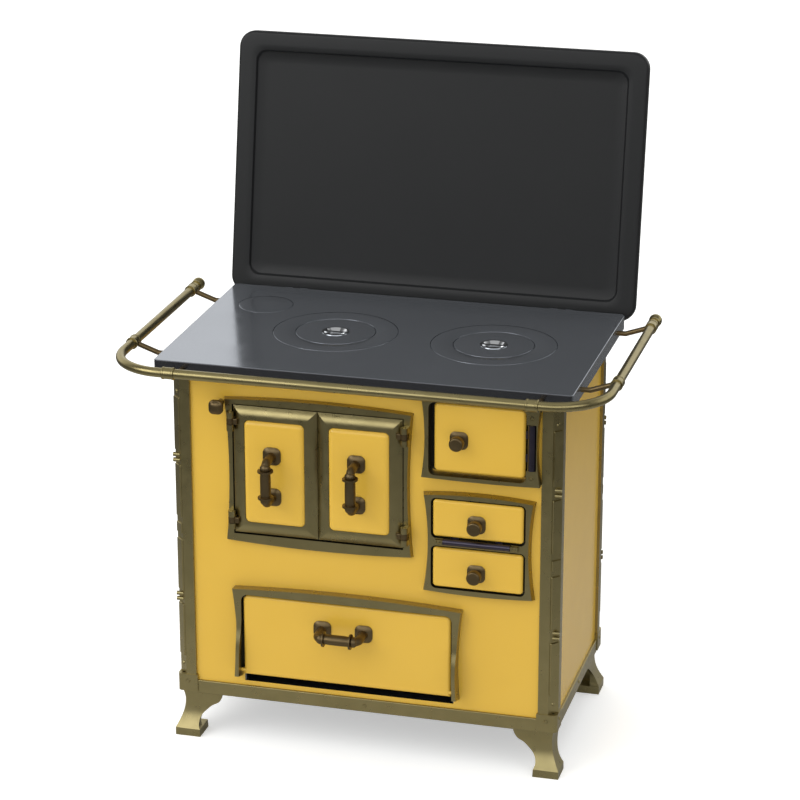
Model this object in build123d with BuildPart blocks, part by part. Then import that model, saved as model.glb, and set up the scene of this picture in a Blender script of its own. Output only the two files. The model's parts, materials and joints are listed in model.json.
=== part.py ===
"""Wood cookstove: an enamelled cabinet on cast legs, a steel hob under a hinged lid, and a towel rail.

Millimetres, +Z up.  The pieces are drawn with X = 0 and Y = 0 at the middle of the hob and Z = 0 on
the floor, the front facing -Y.  They are written with the origin under the middle of the whole stove.
"""
from build123d import *
import os
from math import cos, radians, sin

# ---------------------------------------------------------------- overall sizes
hob_width = 882.0            # hob plate, side to side
hob_depth = 550.0            # hob plate, front to back
hob_height = 860.0           # floor to cooking surface, a worktop's height
leg_height = 104.0           # floor to the cabinet's underside
side_overhang = 27.0         # hob beyond the posts
front_overhang = 30.0
rear_overhang = 48.0
clearance = 0.5              # around a piece that lifts out
running_fit = 0.05           # radial, around a pin that turns
door_gap = 3.0               # round a door that lies inside its frame
casting_draft = 15.0         # slope of a cast frame's sides, in degrees

# ---------------------------------------------------------------- hob
skirt_height = 30.0
skirt_wall = 5.0
plate_wall = 8.0
hob_corner = 10.0
ring_radius = 133.0          # outer burner ring
disc_radius = 85.0           # inner burner disc
burner_left = (-129.0, 0.0)
burner_right = (215.0, 0.0)
flue_radius = 59.5           # cover over the flue outlet
flue_place = (-328.5, 143.0)
seat_width = 6.0             # ledge under a ring, a disc or the flue cover
seat_depth = 6.0             # how deep a lift-out piece sits in the plate
boss_rim = 12.0              # metal round a ledge, under the plate
boss_depth = 6.0
cup_radius = 29.0            # lifter cup in a burner disc
cup_depth = 6.0
cup_lip = 1.0
cup_seat = 2.0               # ledge of the cup's rim on the disc
cup_foot = 19.0              # radius of the cup's floor
cup_mouth = 25.0             # radius inside its rim
cup_bar = 3.0                # bar across the cup: thickness and width
cup_bar_width = 8.0

# ---------------------------------------------------------------- cabinet
post_wing = 40.0
post_wall = 6.0
post_chamfer = 18.0
sheet = 2.5                  # enamelled panels
liner_sheet = 2.0            # oven box, wood bin and flue box
collar_height = 39.0         # foot of a post
collar_proud = 1.5
collar_wing = 44.5
post_middle_above = 10.5         # middle of a post's ornament above the cabinet's middle
post_panels = ((0.07, 0.405), (0.49, 0.83))      # raised panels, as shares of the post above that
post_beads = (0.43, 0.464)
post_screws = (-0.8865, 0.864)
post_panel_half = 11.0
post_panel_proud = 3.0
post_block = 11.5
post_bead_radius = 4.6
trim_height = 30.0
trim_wall = 5.0
trim_drop = 3.5              # base trim below the cabinet's underside
leg_wall = 8.0
toe_height = 17.0

# ---------------------------------------------------------------- lid
lid_side_margin = 16.5       # closed lid beyond the hob, at each side
lid_front_margin = 10.0
lid_thickness = 22.0
lid_corner = 36.0
lid_lean = 10.0              # leaning back from upright when open
lid_tail = 14.5              # length of the lid below its hinge
hinge_behind = 6.0           # lid hinge axis behind the hob's rear face
hinge_below = 7.0            # and below the cooking surface
lid_standoff = 11.0          # lid's inner face from the hinge axis
lid_hinge_radius = 5.5
lid_hinge_pin = 3.0
lid_hinge_places = (-300.0, 300.0)
lid_recess = 6.0
lid_border = 40.0
lid_sheet = 2.0              # the lid is pressed from this, open at the back
lid_edge = 7.0               # rounding of its rim
lid_step_slope = 50.0        # slope of the step round its recess, in degrees
lug_width = 17.0             # of each lid knuckle, and of the lugs beside it
lug_web = 8.0

# ---------------------------------------------------------------- towel rail
rail_radius = 10.0
rail_wall = 2.0
rail_side_gap = 73.0         # from the hob's side to the side tube's axis
rail_front_gap = 86.6
rail_above = 4.3             # tube axis above the cooking surface
rail_elbow = 115.0
rail_rear_inset = 53.0       # tube's rear ends from the hob's rear
rail_rod = 5.5
clamp_radius = 13.0
clamp_length = 26.0
finial_radius = 14.0
clamp_side_inset = 87.0      # side clamps from the hob's front and rear
clamp_front_inset = 64.0     # front clamps from the hob's sides

# ---------------------------------------------------------------- front openings
# Places up the front are measured down from the cooking surface, except the wood door's.
oven_left = -299.6
oven_right = 105.0
oven_top = hob_height - 79.0
oven_low = hob_height - 395.5
oven_proud = 11.0
oven_rim = (21.6, 14.0, 21.5)    # frame's width at the sides, top and bottom corners
oven_bow = (8.0, -7.0, -7.5)     # how far its sides, bottom and top curve inwards
leaf_gap = 2.0                   # between the two oven doors, and round them
leaf_edge = 12.0                 # straight edge of an oven door
leaf_bevel = (22.0, 10.0)        # mitred bevel: across, and forward
leaf_ridge = 3.0
inset_corner = 11.0
inset_proud = 6.0
inset_roll = 7.0
oven_inner = 14.0                # oven doors overlap their opening by this
oven_depth = 410.0
knuckle_radius = 8.0
knuckle_height = 13.0
oven_pin = 3.0

fire_left = 126.5
fire_right = 373.5
fire_top = hob_height - 34.0
fire_low = hob_height - 207.0
fire_proud = 24.0
fire_bow = (7.0, -2.0, 3.0)
fire_door = (151.0, 342.0, hob_height - 194.5, hob_height - 46.0)
fire_gap = (9.5, 3.0, 6.0, 3.0)  # round the door: left, right, below and above
fire_axis = 356.0
barrel_radius = 8.0
fire_corner = 10.0               # of the firebox door, and of the two doors below it
ash_corner = 8.0
hinge_arm = (16.0, 3.0)          # arm from a hinge barrel to its door: width and thickness

ash_left = 125.5
ash_right = 363.5
ash_top = hob_height - 246.5
ash_low = hob_height - 463.5
ash_proud = 14.0
ash_bow = (9.5, -4.5, -6.5)
ash_gap = 4.0
ash_door = (149.0, 340.0, hob_height - 338.0, hob_height - 256.5)
ash_tray = (149.0, 340.0, hob_height - 449.5, hob_height - 361.5)
ash_axis_drop = 9.5              # flap's hinge axis below its lower edge
bar_radius = 7.0

wood_middle = -37.0
wood_half = 248.0                # half the frame's width at its top corners
wood_half_waist = 239.5
wood_half_low = 242.5
wood_low_gap = 21.0              # open below the flap
wood_foot = 49.0                 # frame's foot above the cabinet's underside
wood_drop = 38.0                 # frame's top below the ash frame
wood_flap_x = (-263.0, 189.0)
wood_margin = (9.0, 13.5)        # flap inside its frame: below, above
wood_axis_rise = 10.0            # hinge axis above the flap's lower edge
wood_pin_reach = 15.0            # pin's ends beyond the flap
wood_corner = 12.0               # upper corners of the flap
wood_pin = 4.0
cheek_top_proud = 20.0
cheek_low_proud = 34.0
cheek_thinning = 4.0
cheek_shares = (0.34, 0.35, 0.09)    # of the frame's height: top step, swell and belly of its cheeks
door_wall = 14.0
door_back = 2.0                  # behind a door, to the panel
door_roll = 7.0                  # rounding of its front edge

damper_place = (-307.0, hob_height - 92.0)
damper_rod = 4.0
damper_disc = 42.0
damper_port = 36.0
damper_stand = 30.0             # back of the damper's knob from the panel
damper_knob_width = 30.0
damper_knob_corner = 10.0
damper_knob_thick = 14.0

# ---------------------------------------------------------------- handles and knobs
boss_width = 38.0
boss_corner = 12.0
boss_thick = 7.0
boss_spacing = 90.0
neck_radius = 8.5
neck_bend = 12.0
neck_side = 12.0             # from a boss's middle to the grip's end
grip_radius = 11.0
grip_flange = 16.5
grip_flange_thick = 4.0
grip_stand = 47.0            # grip's axis in front of what the bosses stand on
oven_handle_z = hob_height - 235.7
oven_handle_x = (-189.5, -9.0)
wood_handle_x = -43.3
wood_handle_share = 0.724    # from the lowest place of its bosses on the flap to the highest
knob_plate = 38.0
knob_plate_thick = 4.0
stem_radius = 7.7
fire_knob_place = (203.7, hob_height - 123.5)
ash_knob_x = 242.0
ash_knob_drop = 6.5          # below the middle of its door
knob_radius = 14.0
knob_reach = 30.0
knob_rim = 3.5               # rounding of a knob's front edge
stud_radius = 4.5            # dome screws and rivets
stud_rise = 2.4

# ---------------------------------------------------------------- worked out
half_width = hob_width / 2 - side_overhang
cabinet_front = hob_depth / 2 - front_overhang       # forward of the hob's middle
cabinet_rear = hob_depth / 2 - rear_overhang         # behind it
cabinet_top = hob_height - skirt_height
cabinet_middle = (cabinet_rear - cabinet_front) / 2
half_depth = (cabinet_rear + cabinet_front) / 2
panel_x = half_width - post_wall                     # outer faces of the panels
panel_front = cabinet_front - post_wall
panel_rear = cabinet_rear - post_wall
inside_front = panel_front - sheet
inside_rear = panel_rear - sheet
inside_x = panel_x - sheet
inner_cut = post_chamfer - post_wall * (2 - 2 ** 0.5)  # chamfer of a post's inner corner
plate_under = hob_height - plate_wall
seat_top = hob_height - seat_depth
boss_low = plate_under - boss_depth
collar_top = leg_height + collar_height
cup_floor = hob_height - cup_depth
lid_axis_y = hob_depth / 2 + hinge_behind
lid_axis_z = hob_height - hinge_below
lid_width = hob_width + 2 * lid_side_margin
lid_length = lid_tail + hinge_behind + hob_depth + lid_front_margin
rail_z = hob_height + rail_above
rail_side = hob_width / 2 + rail_side_gap            # from the hob's middle to a side tube
rail_front = hob_depth / 2 + rail_front_gap
rail_rear = hob_depth / 2 - rail_rear_inset
clamp_side_y = hob_depth / 2 - clamp_side_inset
clamp_front_x = hob_width / 2 - clamp_front_inset

wood_low = leg_height + wood_foot
wood_high = ash_low - wood_drop
wood_height = wood_high - wood_low
wood_door = (*wood_flap_x, wood_low + wood_margin[0], wood_high - wood_margin[1])
wood_axis = wood_door[2] + wood_axis_rise
wood_handle_travel = wood_door[3] - wood_door[2] - boss_width
wood_handle_place = (wood_handle_x, wood_door[2] + boss_width / 2 + wood_handle_share * wood_handle_travel)

pieces = {}


# ---------------------------------------------------------------- helpers
def front(depth):
    """The upright plane at this depth in front of the hob's middle, facing forward."""
    return Plane.XZ.offset(depth)


def block(low, high, mode=Mode.ADD):
    """A box between two corners, in the part that is being built."""
    size = [b - a for a, b in zip(low, high)]
    with Locations(tuple((a + b) / 2 for a, b in zip(low, high))):
        Box(*size, mode=mode)


def window(left, right, low, high, radius=0.0, mode=Mode.ADD):
    """A rectangle between two corners, in the sketch that is being drawn."""
    with Locations(((left + right) / 2, (low + high) / 2)):
        if radius > 0:
            RectangleRounded(right - left, high - low, radius, mode=mode)
        else:
            Rectangle(right - left, high - low, mode=mode)


def bowed(left, right, low, high, bows):
    """A frame's outline: a rectangle whose sides, bottom and top curve inwards by their bows."""
    side_bow, low_bow, high_bow = bows
    middle_x = (left + right) / 2
    middle_z = (low + high) / 2
    with BuildLine() as outline:
        ThreePointArc((left, low), (middle_x, low + low_bow), (right, low))
        ThreePointArc((right, low), (right - side_bow, middle_z), (right, high))
        ThreePointArc((right, high), (middle_x, high - high_bow), (left, high))
        ThreePointArc((left, high), (left + side_bow, middle_z), (left, low))
    make_face(outline.edges())


# ---------------------------------------------------------------- hob plate and what lifts out of it
with BuildPart() as cooktop_plate:
    with BuildSketch(Plane.XY.offset(cabinet_top)):
        RectangleRounded(hob_width, hob_depth, hob_corner)
    extrude(amount=skirt_height)
    fillet(cooktop_plate.faces().sort_by(Axis.Z)[-1].edges(), radius=2.0)
    with BuildSketch(Plane.XY.offset(cabinet_top)):
        RectangleRounded(hob_width - 2 * skirt_wall, hob_depth - 2 * skirt_wall, hob_corner - skirt_wall)
    extrude(amount=skirt_height - plate_wall, mode=Mode.SUBTRACT)
    # The rib that stands on the posts and panels.
    rib = post_wall + sheet
    with BuildSketch(Plane.XY.offset(cabinet_top)):
        with Locations((0, cabinet_middle)):
            Rectangle(2 * half_width, 2 * half_depth)
            Rectangle(2 * (half_width - rib), 2 * (half_depth - rib), mode=Mode.SUBTRACT)
    extrude(amount=plate_under - cabinet_top)
    seats = ((burner_left, ring_radius), (burner_right, ring_radius), (flue_place, flue_radius))
    for place, radius in seats:
        with BuildSketch(Plane.XY.offset(boss_low)):
            with Locations(place):
                Circle(radius + boss_rim)
        extrude(amount=boss_depth)
        with BuildSketch(Plane.XY.offset(boss_low)):
            with Locations(place):
                Circle(radius - seat_width)
        extrude(amount=hob_height - boss_low, mode=Mode.SUBTRACT)
        with BuildSketch(Plane.XY.offset(seat_top)):
            with Locations(place):
                Circle(radius + clearance)
        extrude(amount=seat_depth, mode=Mode.SUBTRACT)
    # Lugs on the rear skirt that carry the lid's pins.
    for x in lid_hinge_places:
        for side in (-1, 1):
            with BuildSketch(Plane.YZ.offset(x + side * lug_width)):
                with Locations((lid_axis_y, lid_axis_z)):
                    Circle(lid_hinge_radius)
                window(hob_depth / 2, lid_axis_y + lid_hinge_radius - 1.0, lid_axis_z - 12.0, lid_axis_z)
            extrude(amount=(lug_width - 1.0) / 2, both=True)
        with Locations((x, lid_axis_y, lid_axis_z)):
            Cylinder(lid_hinge_pin, 2 * lug_width + 6.0, rotation=(0, 90, 0))
pieces["cooktop_plate"] = cooktop_plate.part


def burner(side, place):
    """A burner's ring, the disc inside it and the lifter cup let into the disc."""
    step = seat_top - (seat_depth - clearance)
    with BuildPart(Plane.XY.offset(seat_top)) as ring:
        with Locations(place):
            Cylinder(ring_radius, seat_depth, align=(Align.CENTER, Align.CENTER, Align.MIN))
            Cylinder(ring_radius - seat_width - clearance, seat_top - step,
                     align=(Align.CENTER, Align.CENTER, Align.MAX))
            Cylinder(disc_radius - seat_width, 4 * seat_depth, mode=Mode.SUBTRACT)
            Cylinder(disc_radius + clearance, seat_depth, mode=Mode.SUBTRACT,
                     align=(Align.CENTER, Align.CENTER, Align.MIN))
    pieces["burner_ring_" + side] = ring.part
    with BuildPart(Plane.XY.offset(seat_top)) as disc:
        with Locations(place):
            Cylinder(disc_radius, seat_depth, align=(Align.CENTER, Align.CENTER, Align.MIN))
            Cylinder(disc_radius - seat_width - clearance, seat_top - step,
                     align=(Align.CENTER, Align.CENTER, Align.MAX))
        with Locations((place[0], place[1], seat_depth)):
            Cylinder(cup_radius - cup_seat, cup_depth + cup_lip, mode=Mode.SUBTRACT,
                     align=(Align.CENTER, Align.CENTER, Align.MAX))
    pieces["burner_disc_" + side] = disc.part
    with BuildPart() as cup:
        with BuildSketch(Plane.XZ):
            with BuildLine():
                Polyline((0, cup_floor - cup_lip), (cup_foot, cup_floor - cup_lip),
                         (cup_radius - cup_seat, hob_height), (cup_radius, hob_height),
                         (cup_radius, hob_height + cup_lip), (cup_mouth, hob_height + cup_lip),
                         (cup_foot - cup_lip, cup_floor), (0, cup_floor), close=True)
            make_face()
        revolve(axis=Axis.Z)
        with Locations((0, 0, hob_height - cup_bar / 2)):
            Box(2 * cup_mouth - cup_lip, cup_bar_width, cup_bar)
    pieces["lifter_cup_" + side] = cup.part.moved(Location((place[0], place[1], 0)))


burner("left", burner_left)
burner("right", burner_right)

with BuildPart(Plane.XY.offset(seat_top)) as flue_cover:
    with Locations(flue_place):
        Cylinder(flue_radius, seat_depth, align=(Align.CENTER, Align.CENTER, Align.MIN))
        Cylinder(flue_radius - seat_width - clearance, seat_depth - clearance,
                 align=(Align.CENTER, Align.CENTER, Align.MAX))
pieces["flue_cover"] = flue_cover.part


# ---------------------------------------------------------------- lid
lean = radians(lid_lean)
lid_up = Vector(0, sin(lean), cos(lean))
lid_face = Vector(0, -cos(lean), sin(lean))          # out of the lid's inner face
lid_foot = Vector(0, lid_axis_y, lid_axis_z) - lid_face * lid_standoff
lid_plane = Plane(origin=lid_foot, x_dir=(1, 0, 0), z_dir=lid_face)

def lid_outline(inset, corner, mode=Mode.ADD):
    """The lid's outline drawn in by an inset, in a sketch on the lid's plane."""
    with Locations((0, lid_length / 2 - lid_tail)):
        RectangleRounded(lid_width - 2 * inset, lid_length - 2 * inset, corner, mode=mode)


with BuildPart() as lid:
    with BuildSketch(lid_plane):
        lid_outline(0, lid_corner)
    extrude(amount=-lid_thickness)
    fillet(lid.faces().filter_by(lid_plane).edges(), radius=lid_edge)
    with BuildSketch(lid_plane):
        lid_outline(lid_border, lid_corner - lid_edge)
    extrude(amount=-lid_recess, taper=lid_step_slope, mode=Mode.SUBTRACT)
    # The back is open: a pocket behind the panel, and a deeper channel behind the border.
    pocket_depth = lid_thickness - lid_recess - lid_sheet
    with BuildSketch(lid_plane.offset(-lid_thickness)):
        lid_outline(lid_sheet, lid_corner - lid_sheet)
    extrude(amount=pocket_depth, mode=Mode.SUBTRACT)
    with BuildSketch(lid_plane.offset(-lid_thickness)):
        lid_outline(lid_edge, lid_corner - lid_edge)
        lid_outline(lid_border - lid_sheet, lid_corner - lid_edge, mode=Mode.SUBTRACT)
    extrude(amount=lid_thickness - lid_sheet, mode=Mode.SUBTRACT)
    for x in lid_hinge_places:
        with BuildSketch(Plane.YZ.offset(x)):
            with Locations((lid_axis_y, lid_axis_z)):
                Circle(lid_hinge_radius)
            with BuildLine():
                middle = Vector(lid_axis_y, lid_axis_z)
                across = Vector(sin(lean), cos(lean)) * lug_web / 2
                away = Vector(cos(lean), -sin(lean)) * (lid_standoff + lid_recess + lid_sheet)
                Polyline(middle - across, middle + across, middle + across + away,
                         middle - across + away, close=True)
            make_face()
            with Locations((lid_axis_y, lid_axis_z)):
                Circle(lid_hinge_pin + running_fit, mode=Mode.SUBTRACT)
        extrude(amount=lug_width / 2, both=True)
pieces["lid"] = lid.part

# ---------------------------------------------------------------- posts, legs and base trim
def corner_post():
    """The front right post: an L of wall with a chamfered corner, on a proud foot."""
    outer_y = -cabinet_front
    with BuildPart() as post:
        with BuildSketch(Plane.XY.offset(collar_top)):
            with BuildLine():
                Polyline((half_width - post_wing, outer_y), (half_width - post_chamfer, outer_y),
                         (half_width, outer_y + post_chamfer), (half_width, outer_y + post_wing),
                         (panel_x, outer_y + post_wing), (panel_x, -panel_front + inner_cut),
                         (panel_x - inner_cut, -panel_front), (half_width - post_wing, -panel_front),
                         close=True)
            make_face()
        extrude(amount=cabinet_top - collar_top)
        # The proud foot.
        foot_x = half_width + collar_proud
        foot_y = outer_y - collar_proud
        with BuildSketch(Plane.XY.offset(leg_height)):
            with BuildLine():
                Polyline((foot_x - collar_wing, foot_y), (foot_x, foot_y), (foot_x, foot_y + collar_wing),
                         (panel_x, foot_y + collar_wing), (panel_x, -panel_front),
                         (foot_x - collar_wing, -panel_front), close=True)
            make_face()
        extrude(amount=collar_height)
        fillet(post.edges().filter_by(Axis.Z).sort_by(SortBy.DISTANCE).filter_by(
            lambda edge: abs(edge.center().X - foot_x) < 0.01 and abs(edge.center().Y - foot_y) < 0.01),
            radius=9.0)
        # Raised panels, beads and a small block on the chamfer, the same above and below its middle.
        face = Vector(half_width - post_chamfer / 2, outer_y + post_chamfer / 2, 0)
        middle_z = (cabinet_top + leg_height) / 2 + post_middle_above
        height = cabinet_top - middle_z
        chamfer_face = Plane(origin=face, x_dir=(1, 1, 0), z_dir=(1, -1, 0))
        with BuildSketch(chamfer_face):
            for low, high in post_panels:
                for side in (-1, 1):
                    ends = sorted((middle_z + side * low * height, middle_z + side * high * height))
                    window(-post_panel_half, post_panel_half, *ends, 2.0)
            window(-post_panel_half, post_panel_half, middle_z - post_block, middle_z + post_block)
        extrude(amount=post_panel_proud, taper=20)
        for side in (-1, 1):
            for bead in post_beads:
                place = chamfer_face.from_local_coords((0, middle_z + side * bead * height, 0))
                with Locations(Location(place, (0, 90, 45))):
                    Cylinder(post_bead_radius, 2 * post_panel_half - 1.0)
    return post.part


def corner_leg():
    """The front right leg: two curved wings that run down to a square toe."""
    top_x = panel_x
    inner = ((-88, leg_height), (-86, 89), (-78, 77), (-67, 71), (-55, 61), (-43, 48), (-37.3, 29),
             (-41, toe_height))
    outer = ((1, 45), (-4.5, 70), (0, leg_height))

    def profile(origin, sign):
        with BuildLine() as outline:
            Spline([(origin + sign * a, b) for a, b in inner])
            Line((origin + sign * inner[-1][0], toe_height), (origin - sign * 42, 0))
            Line((origin - sign * 42, 0), (origin + sign * 13.5, 0))
            Line((origin + sign * 13.5, 0), (origin + sign * 13.5, toe_height))
            Spline((origin + sign * 13.5, toe_height), (origin + sign * 11, 22),
                   *[(origin + sign * a, b) for a, b in outer])
            Line((origin, leg_height), (origin - sign * 88, leg_height))
        make_face(outline.edges())

    with BuildPart() as core:
        block((top_x - 150, -panel_front + leg_wall, toe_height),
              (top_x - leg_wall, -panel_front + 150, leg_height + 1))
    with BuildPart() as leg:
        with BuildSketch(Plane.XZ):
            profile(top_x, 1)
        extrude(amount=hob_depth, both=True)
        with BuildSketch(Plane.YZ):
            profile(-panel_front, -1)
        extrude(amount=hob_width, both=True, mode=Mode.INTERSECT)
        add(core.part, mode=Mode.SUBTRACT)
    return leg.part


side_mirror = Plane.YZ
depth_mirror = Plane.XZ.offset(-cabinet_middle)
for kind, source in (("post", corner_post()), ("leg", corner_leg())):
    pieces[kind + "_front_right"] = source
    pieces[kind + "_front_left"] = mirror(source, about=side_mirror)
    pieces[kind + "_rear_right"] = mirror(source, about=depth_mirror)
    pieces[kind + "_rear_left"] = mirror(pieces[kind + "_rear_right"], about=side_mirror)

trim_low = leg_height - trim_drop
trim_high = trim_low + trim_height
trim_end_x = half_width + collar_proud - collar_wing
trim_end_front = -cabinet_front - collar_proud + collar_wing
trim_end_rear = cabinet_rear + collar_proud - collar_wing
with BuildPart() as base_trim_front:
    block((-trim_end_x, -panel_front - trim_wall, trim_low), (trim_end_x, -panel_front, trim_high))
    fillet(base_trim_front.edges().filter_by(Axis.X).group_by(Axis.Y)[0], radius=2.0)
pieces["base_trim_front"] = base_trim_front.part
pieces["base_trim_rear"] = mirror(base_trim_front.part, about=depth_mirror)
with BuildPart() as base_trim_right:
    block((panel_x, trim_end_front, trim_low), (panel_x + trim_wall, trim_end_rear, trim_high))
    fillet(base_trim_right.edges().filter_by(Axis.Y).group_by(Axis.X)[-1], radius=2.0)
with BuildPart() as base_trim_sides:
    add(base_trim_right.part)
    mirror(base_trim_right.part, about=side_mirror)
pieces["base_trim_sides"] = base_trim_sides.part

# ---------------------------------------------------------------- panels
oven_door_left = oven_left + oven_rim[0] + leaf_gap
oven_door_right = oven_right - oven_rim[0] + leaf_gap * 0.5
oven_door_low = oven_low + oven_rim[2] + leaf_gap + 1.0
oven_door_high = oven_top - oven_rim[1] + leaf_gap * 0.5
oven_opening = (oven_door_left + oven_inner, oven_door_right - oven_inner,
                oven_door_low + oven_inner, oven_door_high - oven_inner)
fire_opening = (fire_door[0] + 6, fire_door[1] - 6, fire_door[2] + 6, fire_door[3] - 6)
ash_opening = (ash_door[0] + 6, ash_door[1] - 6, ash_door[2] + 5, ash_door[3] - 5)
tray_opening = (ash_tray[0] + 6, ash_tray[1] - 6, ash_tray[2] + 3, ash_tray[3] - 5)
wood_opening = (wood_door[0] - 3, wood_door[1] + 3, wood_door[2] - wood_low_gap, wood_door[3] - 8)
post_inner_x = half_width - post_chamfer - 3.0

with BuildPart() as front_panel:
    with BuildSketch(front(inside_front)):
        window(-post_inner_x, post_inner_x, leg_height, cabinet_top)
        for opening in (oven_opening, fire_opening, ash_opening, tray_opening, wood_opening):
            window(*opening, mode=Mode.SUBTRACT)
        with Locations(damper_place):
            Circle(damper_rod + 1.0, mode=Mode.SUBTRACT)
    extrude(amount=sheet)
pieces["front_panel"] = front_panel.part

with BuildPart() as side_panel_right:
    block((inside_x, -panel_front + inner_cut, leg_height), (panel_x, panel_rear - inner_cut, cabinet_top))
pieces["side_panel_right"] = side_panel_right.part
pieces["side_panel_left"] = mirror(side_panel_right.part, about=side_mirror)
with BuildPart() as back_panel:
    block((-post_inner_x, inside_rear, leg_height), (post_inner_x, panel_rear, cabinet_top))
pieces["back_panel"] = back_panel.part
with BuildPart() as bottom_panel:
    block((-inside_x, -inside_front, leg_height), (inside_x, inside_rear, leg_height + sheet))
pieces["bottom_panel"] = bottom_panel.part

# ---------------------------------------------------------------- oven
with BuildPart() as oven_frame:
    with BuildSketch(front(panel_front)):
        bowed(oven_left, oven_right, oven_low, oven_top, oven_bow)
    extrude(amount=oven_proud, taper=casting_draft)
    with BuildSketch(front(panel_front)):
        window(oven_door_left - leaf_gap, oven_door_right + leaf_gap, oven_door_low - leaf_gap,
               oven_door_high + leaf_gap)
    extrude(amount=oven_proud, mode=Mode.SUBTRACT)
    axis_depth = panel_front + leaf_edge + leaf_bevel[1] + 1.0
    hinge_left = oven_left + 19.0
    hinge_right = oven_right - 14.0
    knuckle_groups = (oven_low + 53.0, oven_top - 45.0)
    for x in (hinge_left, hinge_right):
        for middle in knuckle_groups:
            for side in (-1, 1):
                z = middle + side * (knuckle_height + 0.5)
                with Locations((x, -axis_depth, z)):
                    Cylinder(knuckle_radius, knuckle_height)
                outward = -1 if x == hinge_left else 1
                web = sorted((x - outward * 1.0, x + outward * knuckle_radius))
                block((web[0], -axis_depth, z - knuckle_height / 2),
                      (web[1], -panel_front - oven_proud + 1.0, z + knuckle_height / 2))
            with Locations((x, -axis_depth, middle)):
                Cylinder(oven_pin, 3 * knuckle_height + 5.0)
pieces["oven_frame"] = oven_frame.part

with BuildPart() as oven_box:
    left, right, low, high = oven_opening
    oven_rear = -inside_front + oven_depth
    flange = 12.0                # round the mouth, behind the front panel
    block((left, -inside_front, low), (right, oven_rear, high))
    block((left - flange, -inside_front, low - flange),
          (right + flange, -inside_front + liner_sheet, high + flange))
    block((left + liner_sheet, -inside_front, low + liner_sheet),
          (right - liner_sheet, oven_rear - liner_sheet, high - liner_sheet), mode=Mode.SUBTRACT)
    # The two runners that the shelf lies on.
    shelf_z = (low + high) / 2
    runner = (9.0, 3.0)
    runner_inset = 12.0
    for x0 in (left + liner_sheet, right - liner_sheet - runner[0]):
        block((x0, -inside_front + runner_inset, shelf_z - runner[1]),
              (x0 + runner[0], oven_rear - runner_inset, shelf_z))
pieces["oven_box"] = oven_box.part

with BuildPart() as oven_shelf:
    shelf_left = left + liner_sheet + 2.0
    shelf_right = right - liner_sheet - 2.0
    shelf_front = -inside_front + runner_inset + 2.0
    shelf_rear = oven_rear - runner_inset - 4.0
    wire = 5.0
    bars = 13
    block((shelf_left, shelf_front, shelf_z), (shelf_right, shelf_rear, shelf_z + wire))
    block((shelf_left + wire, shelf_front + wire, shelf_z),
          (shelf_right - wire, shelf_rear - wire, shelf_z + wire), mode=Mode.SUBTRACT)
    with Locations(((shelf_left + shelf_right) / 2, (shelf_front + shelf_rear) / 2, shelf_z + wire / 2)):
        with GridLocations((shelf_right - shelf_left) / (bars + 1), 1.0, bars, 1):
            Box(wire - 1, shelf_rear - shelf_front - wire, wire - 1)
pieces["oven_shelf"] = oven_shelf.part


def handle(name, middle, along, base):
    """A handset handle: two rounded-square bosses, bent necks and a grip with a flange at each end."""
    grip_depth = base + grip_stand
    half = boss_spacing / 2
    feet = {side: (middle[0] + side * half * along[0], middle[1] + side * half * along[1])
            for side in (-1, 1)}
    with BuildPart() as whole:
        for foot in feet.values():
            with BuildSketch(front(base)):
                with Locations(foot):
                    RectangleRounded(boss_width, boss_width, boss_corner)
            extrude(amount=boss_thick)
        fillet(whole.faces().filter_by(Axis.Y).group_by(Axis.Y)[0].edges(), radius=3.0)
        for side, foot in feet.items():
            start = Vector(foot[0], -base - boss_thick, foot[1])
            bend = Vector(foot[0], -grip_depth, foot[1])
            grip_end = neck_side + grip_flange_thick + neck_bend
            inside = bend - Vector(along[0], 0, along[1]) * side * grip_end
            with BuildLine():
                FilletPolyline(start, bend, inside, radius=neck_bend)
            with BuildSketch(Plane(origin=start, z_dir=(0, -1, 0))):
                Circle(neck_radius)
            sweep()
        length = boss_spacing - 2 * neck_side
        low_end = Vector(middle[0], -grip_depth, middle[1]) - Vector(along[0], 0, along[1]) * length / 2
        grip_plane = Plane(origin=low_end, z_dir=(along[0], 0, along[1]))
        with BuildSketch(grip_plane):
            Circle(grip_radius)
        extrude(amount=length)
        with BuildSketch(grip_plane, grip_plane.offset(length - grip_flange_thick)):
            Circle(grip_flange)
        extrude(amount=grip_flange_thick)
    pieces[name] = whole.part


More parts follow.
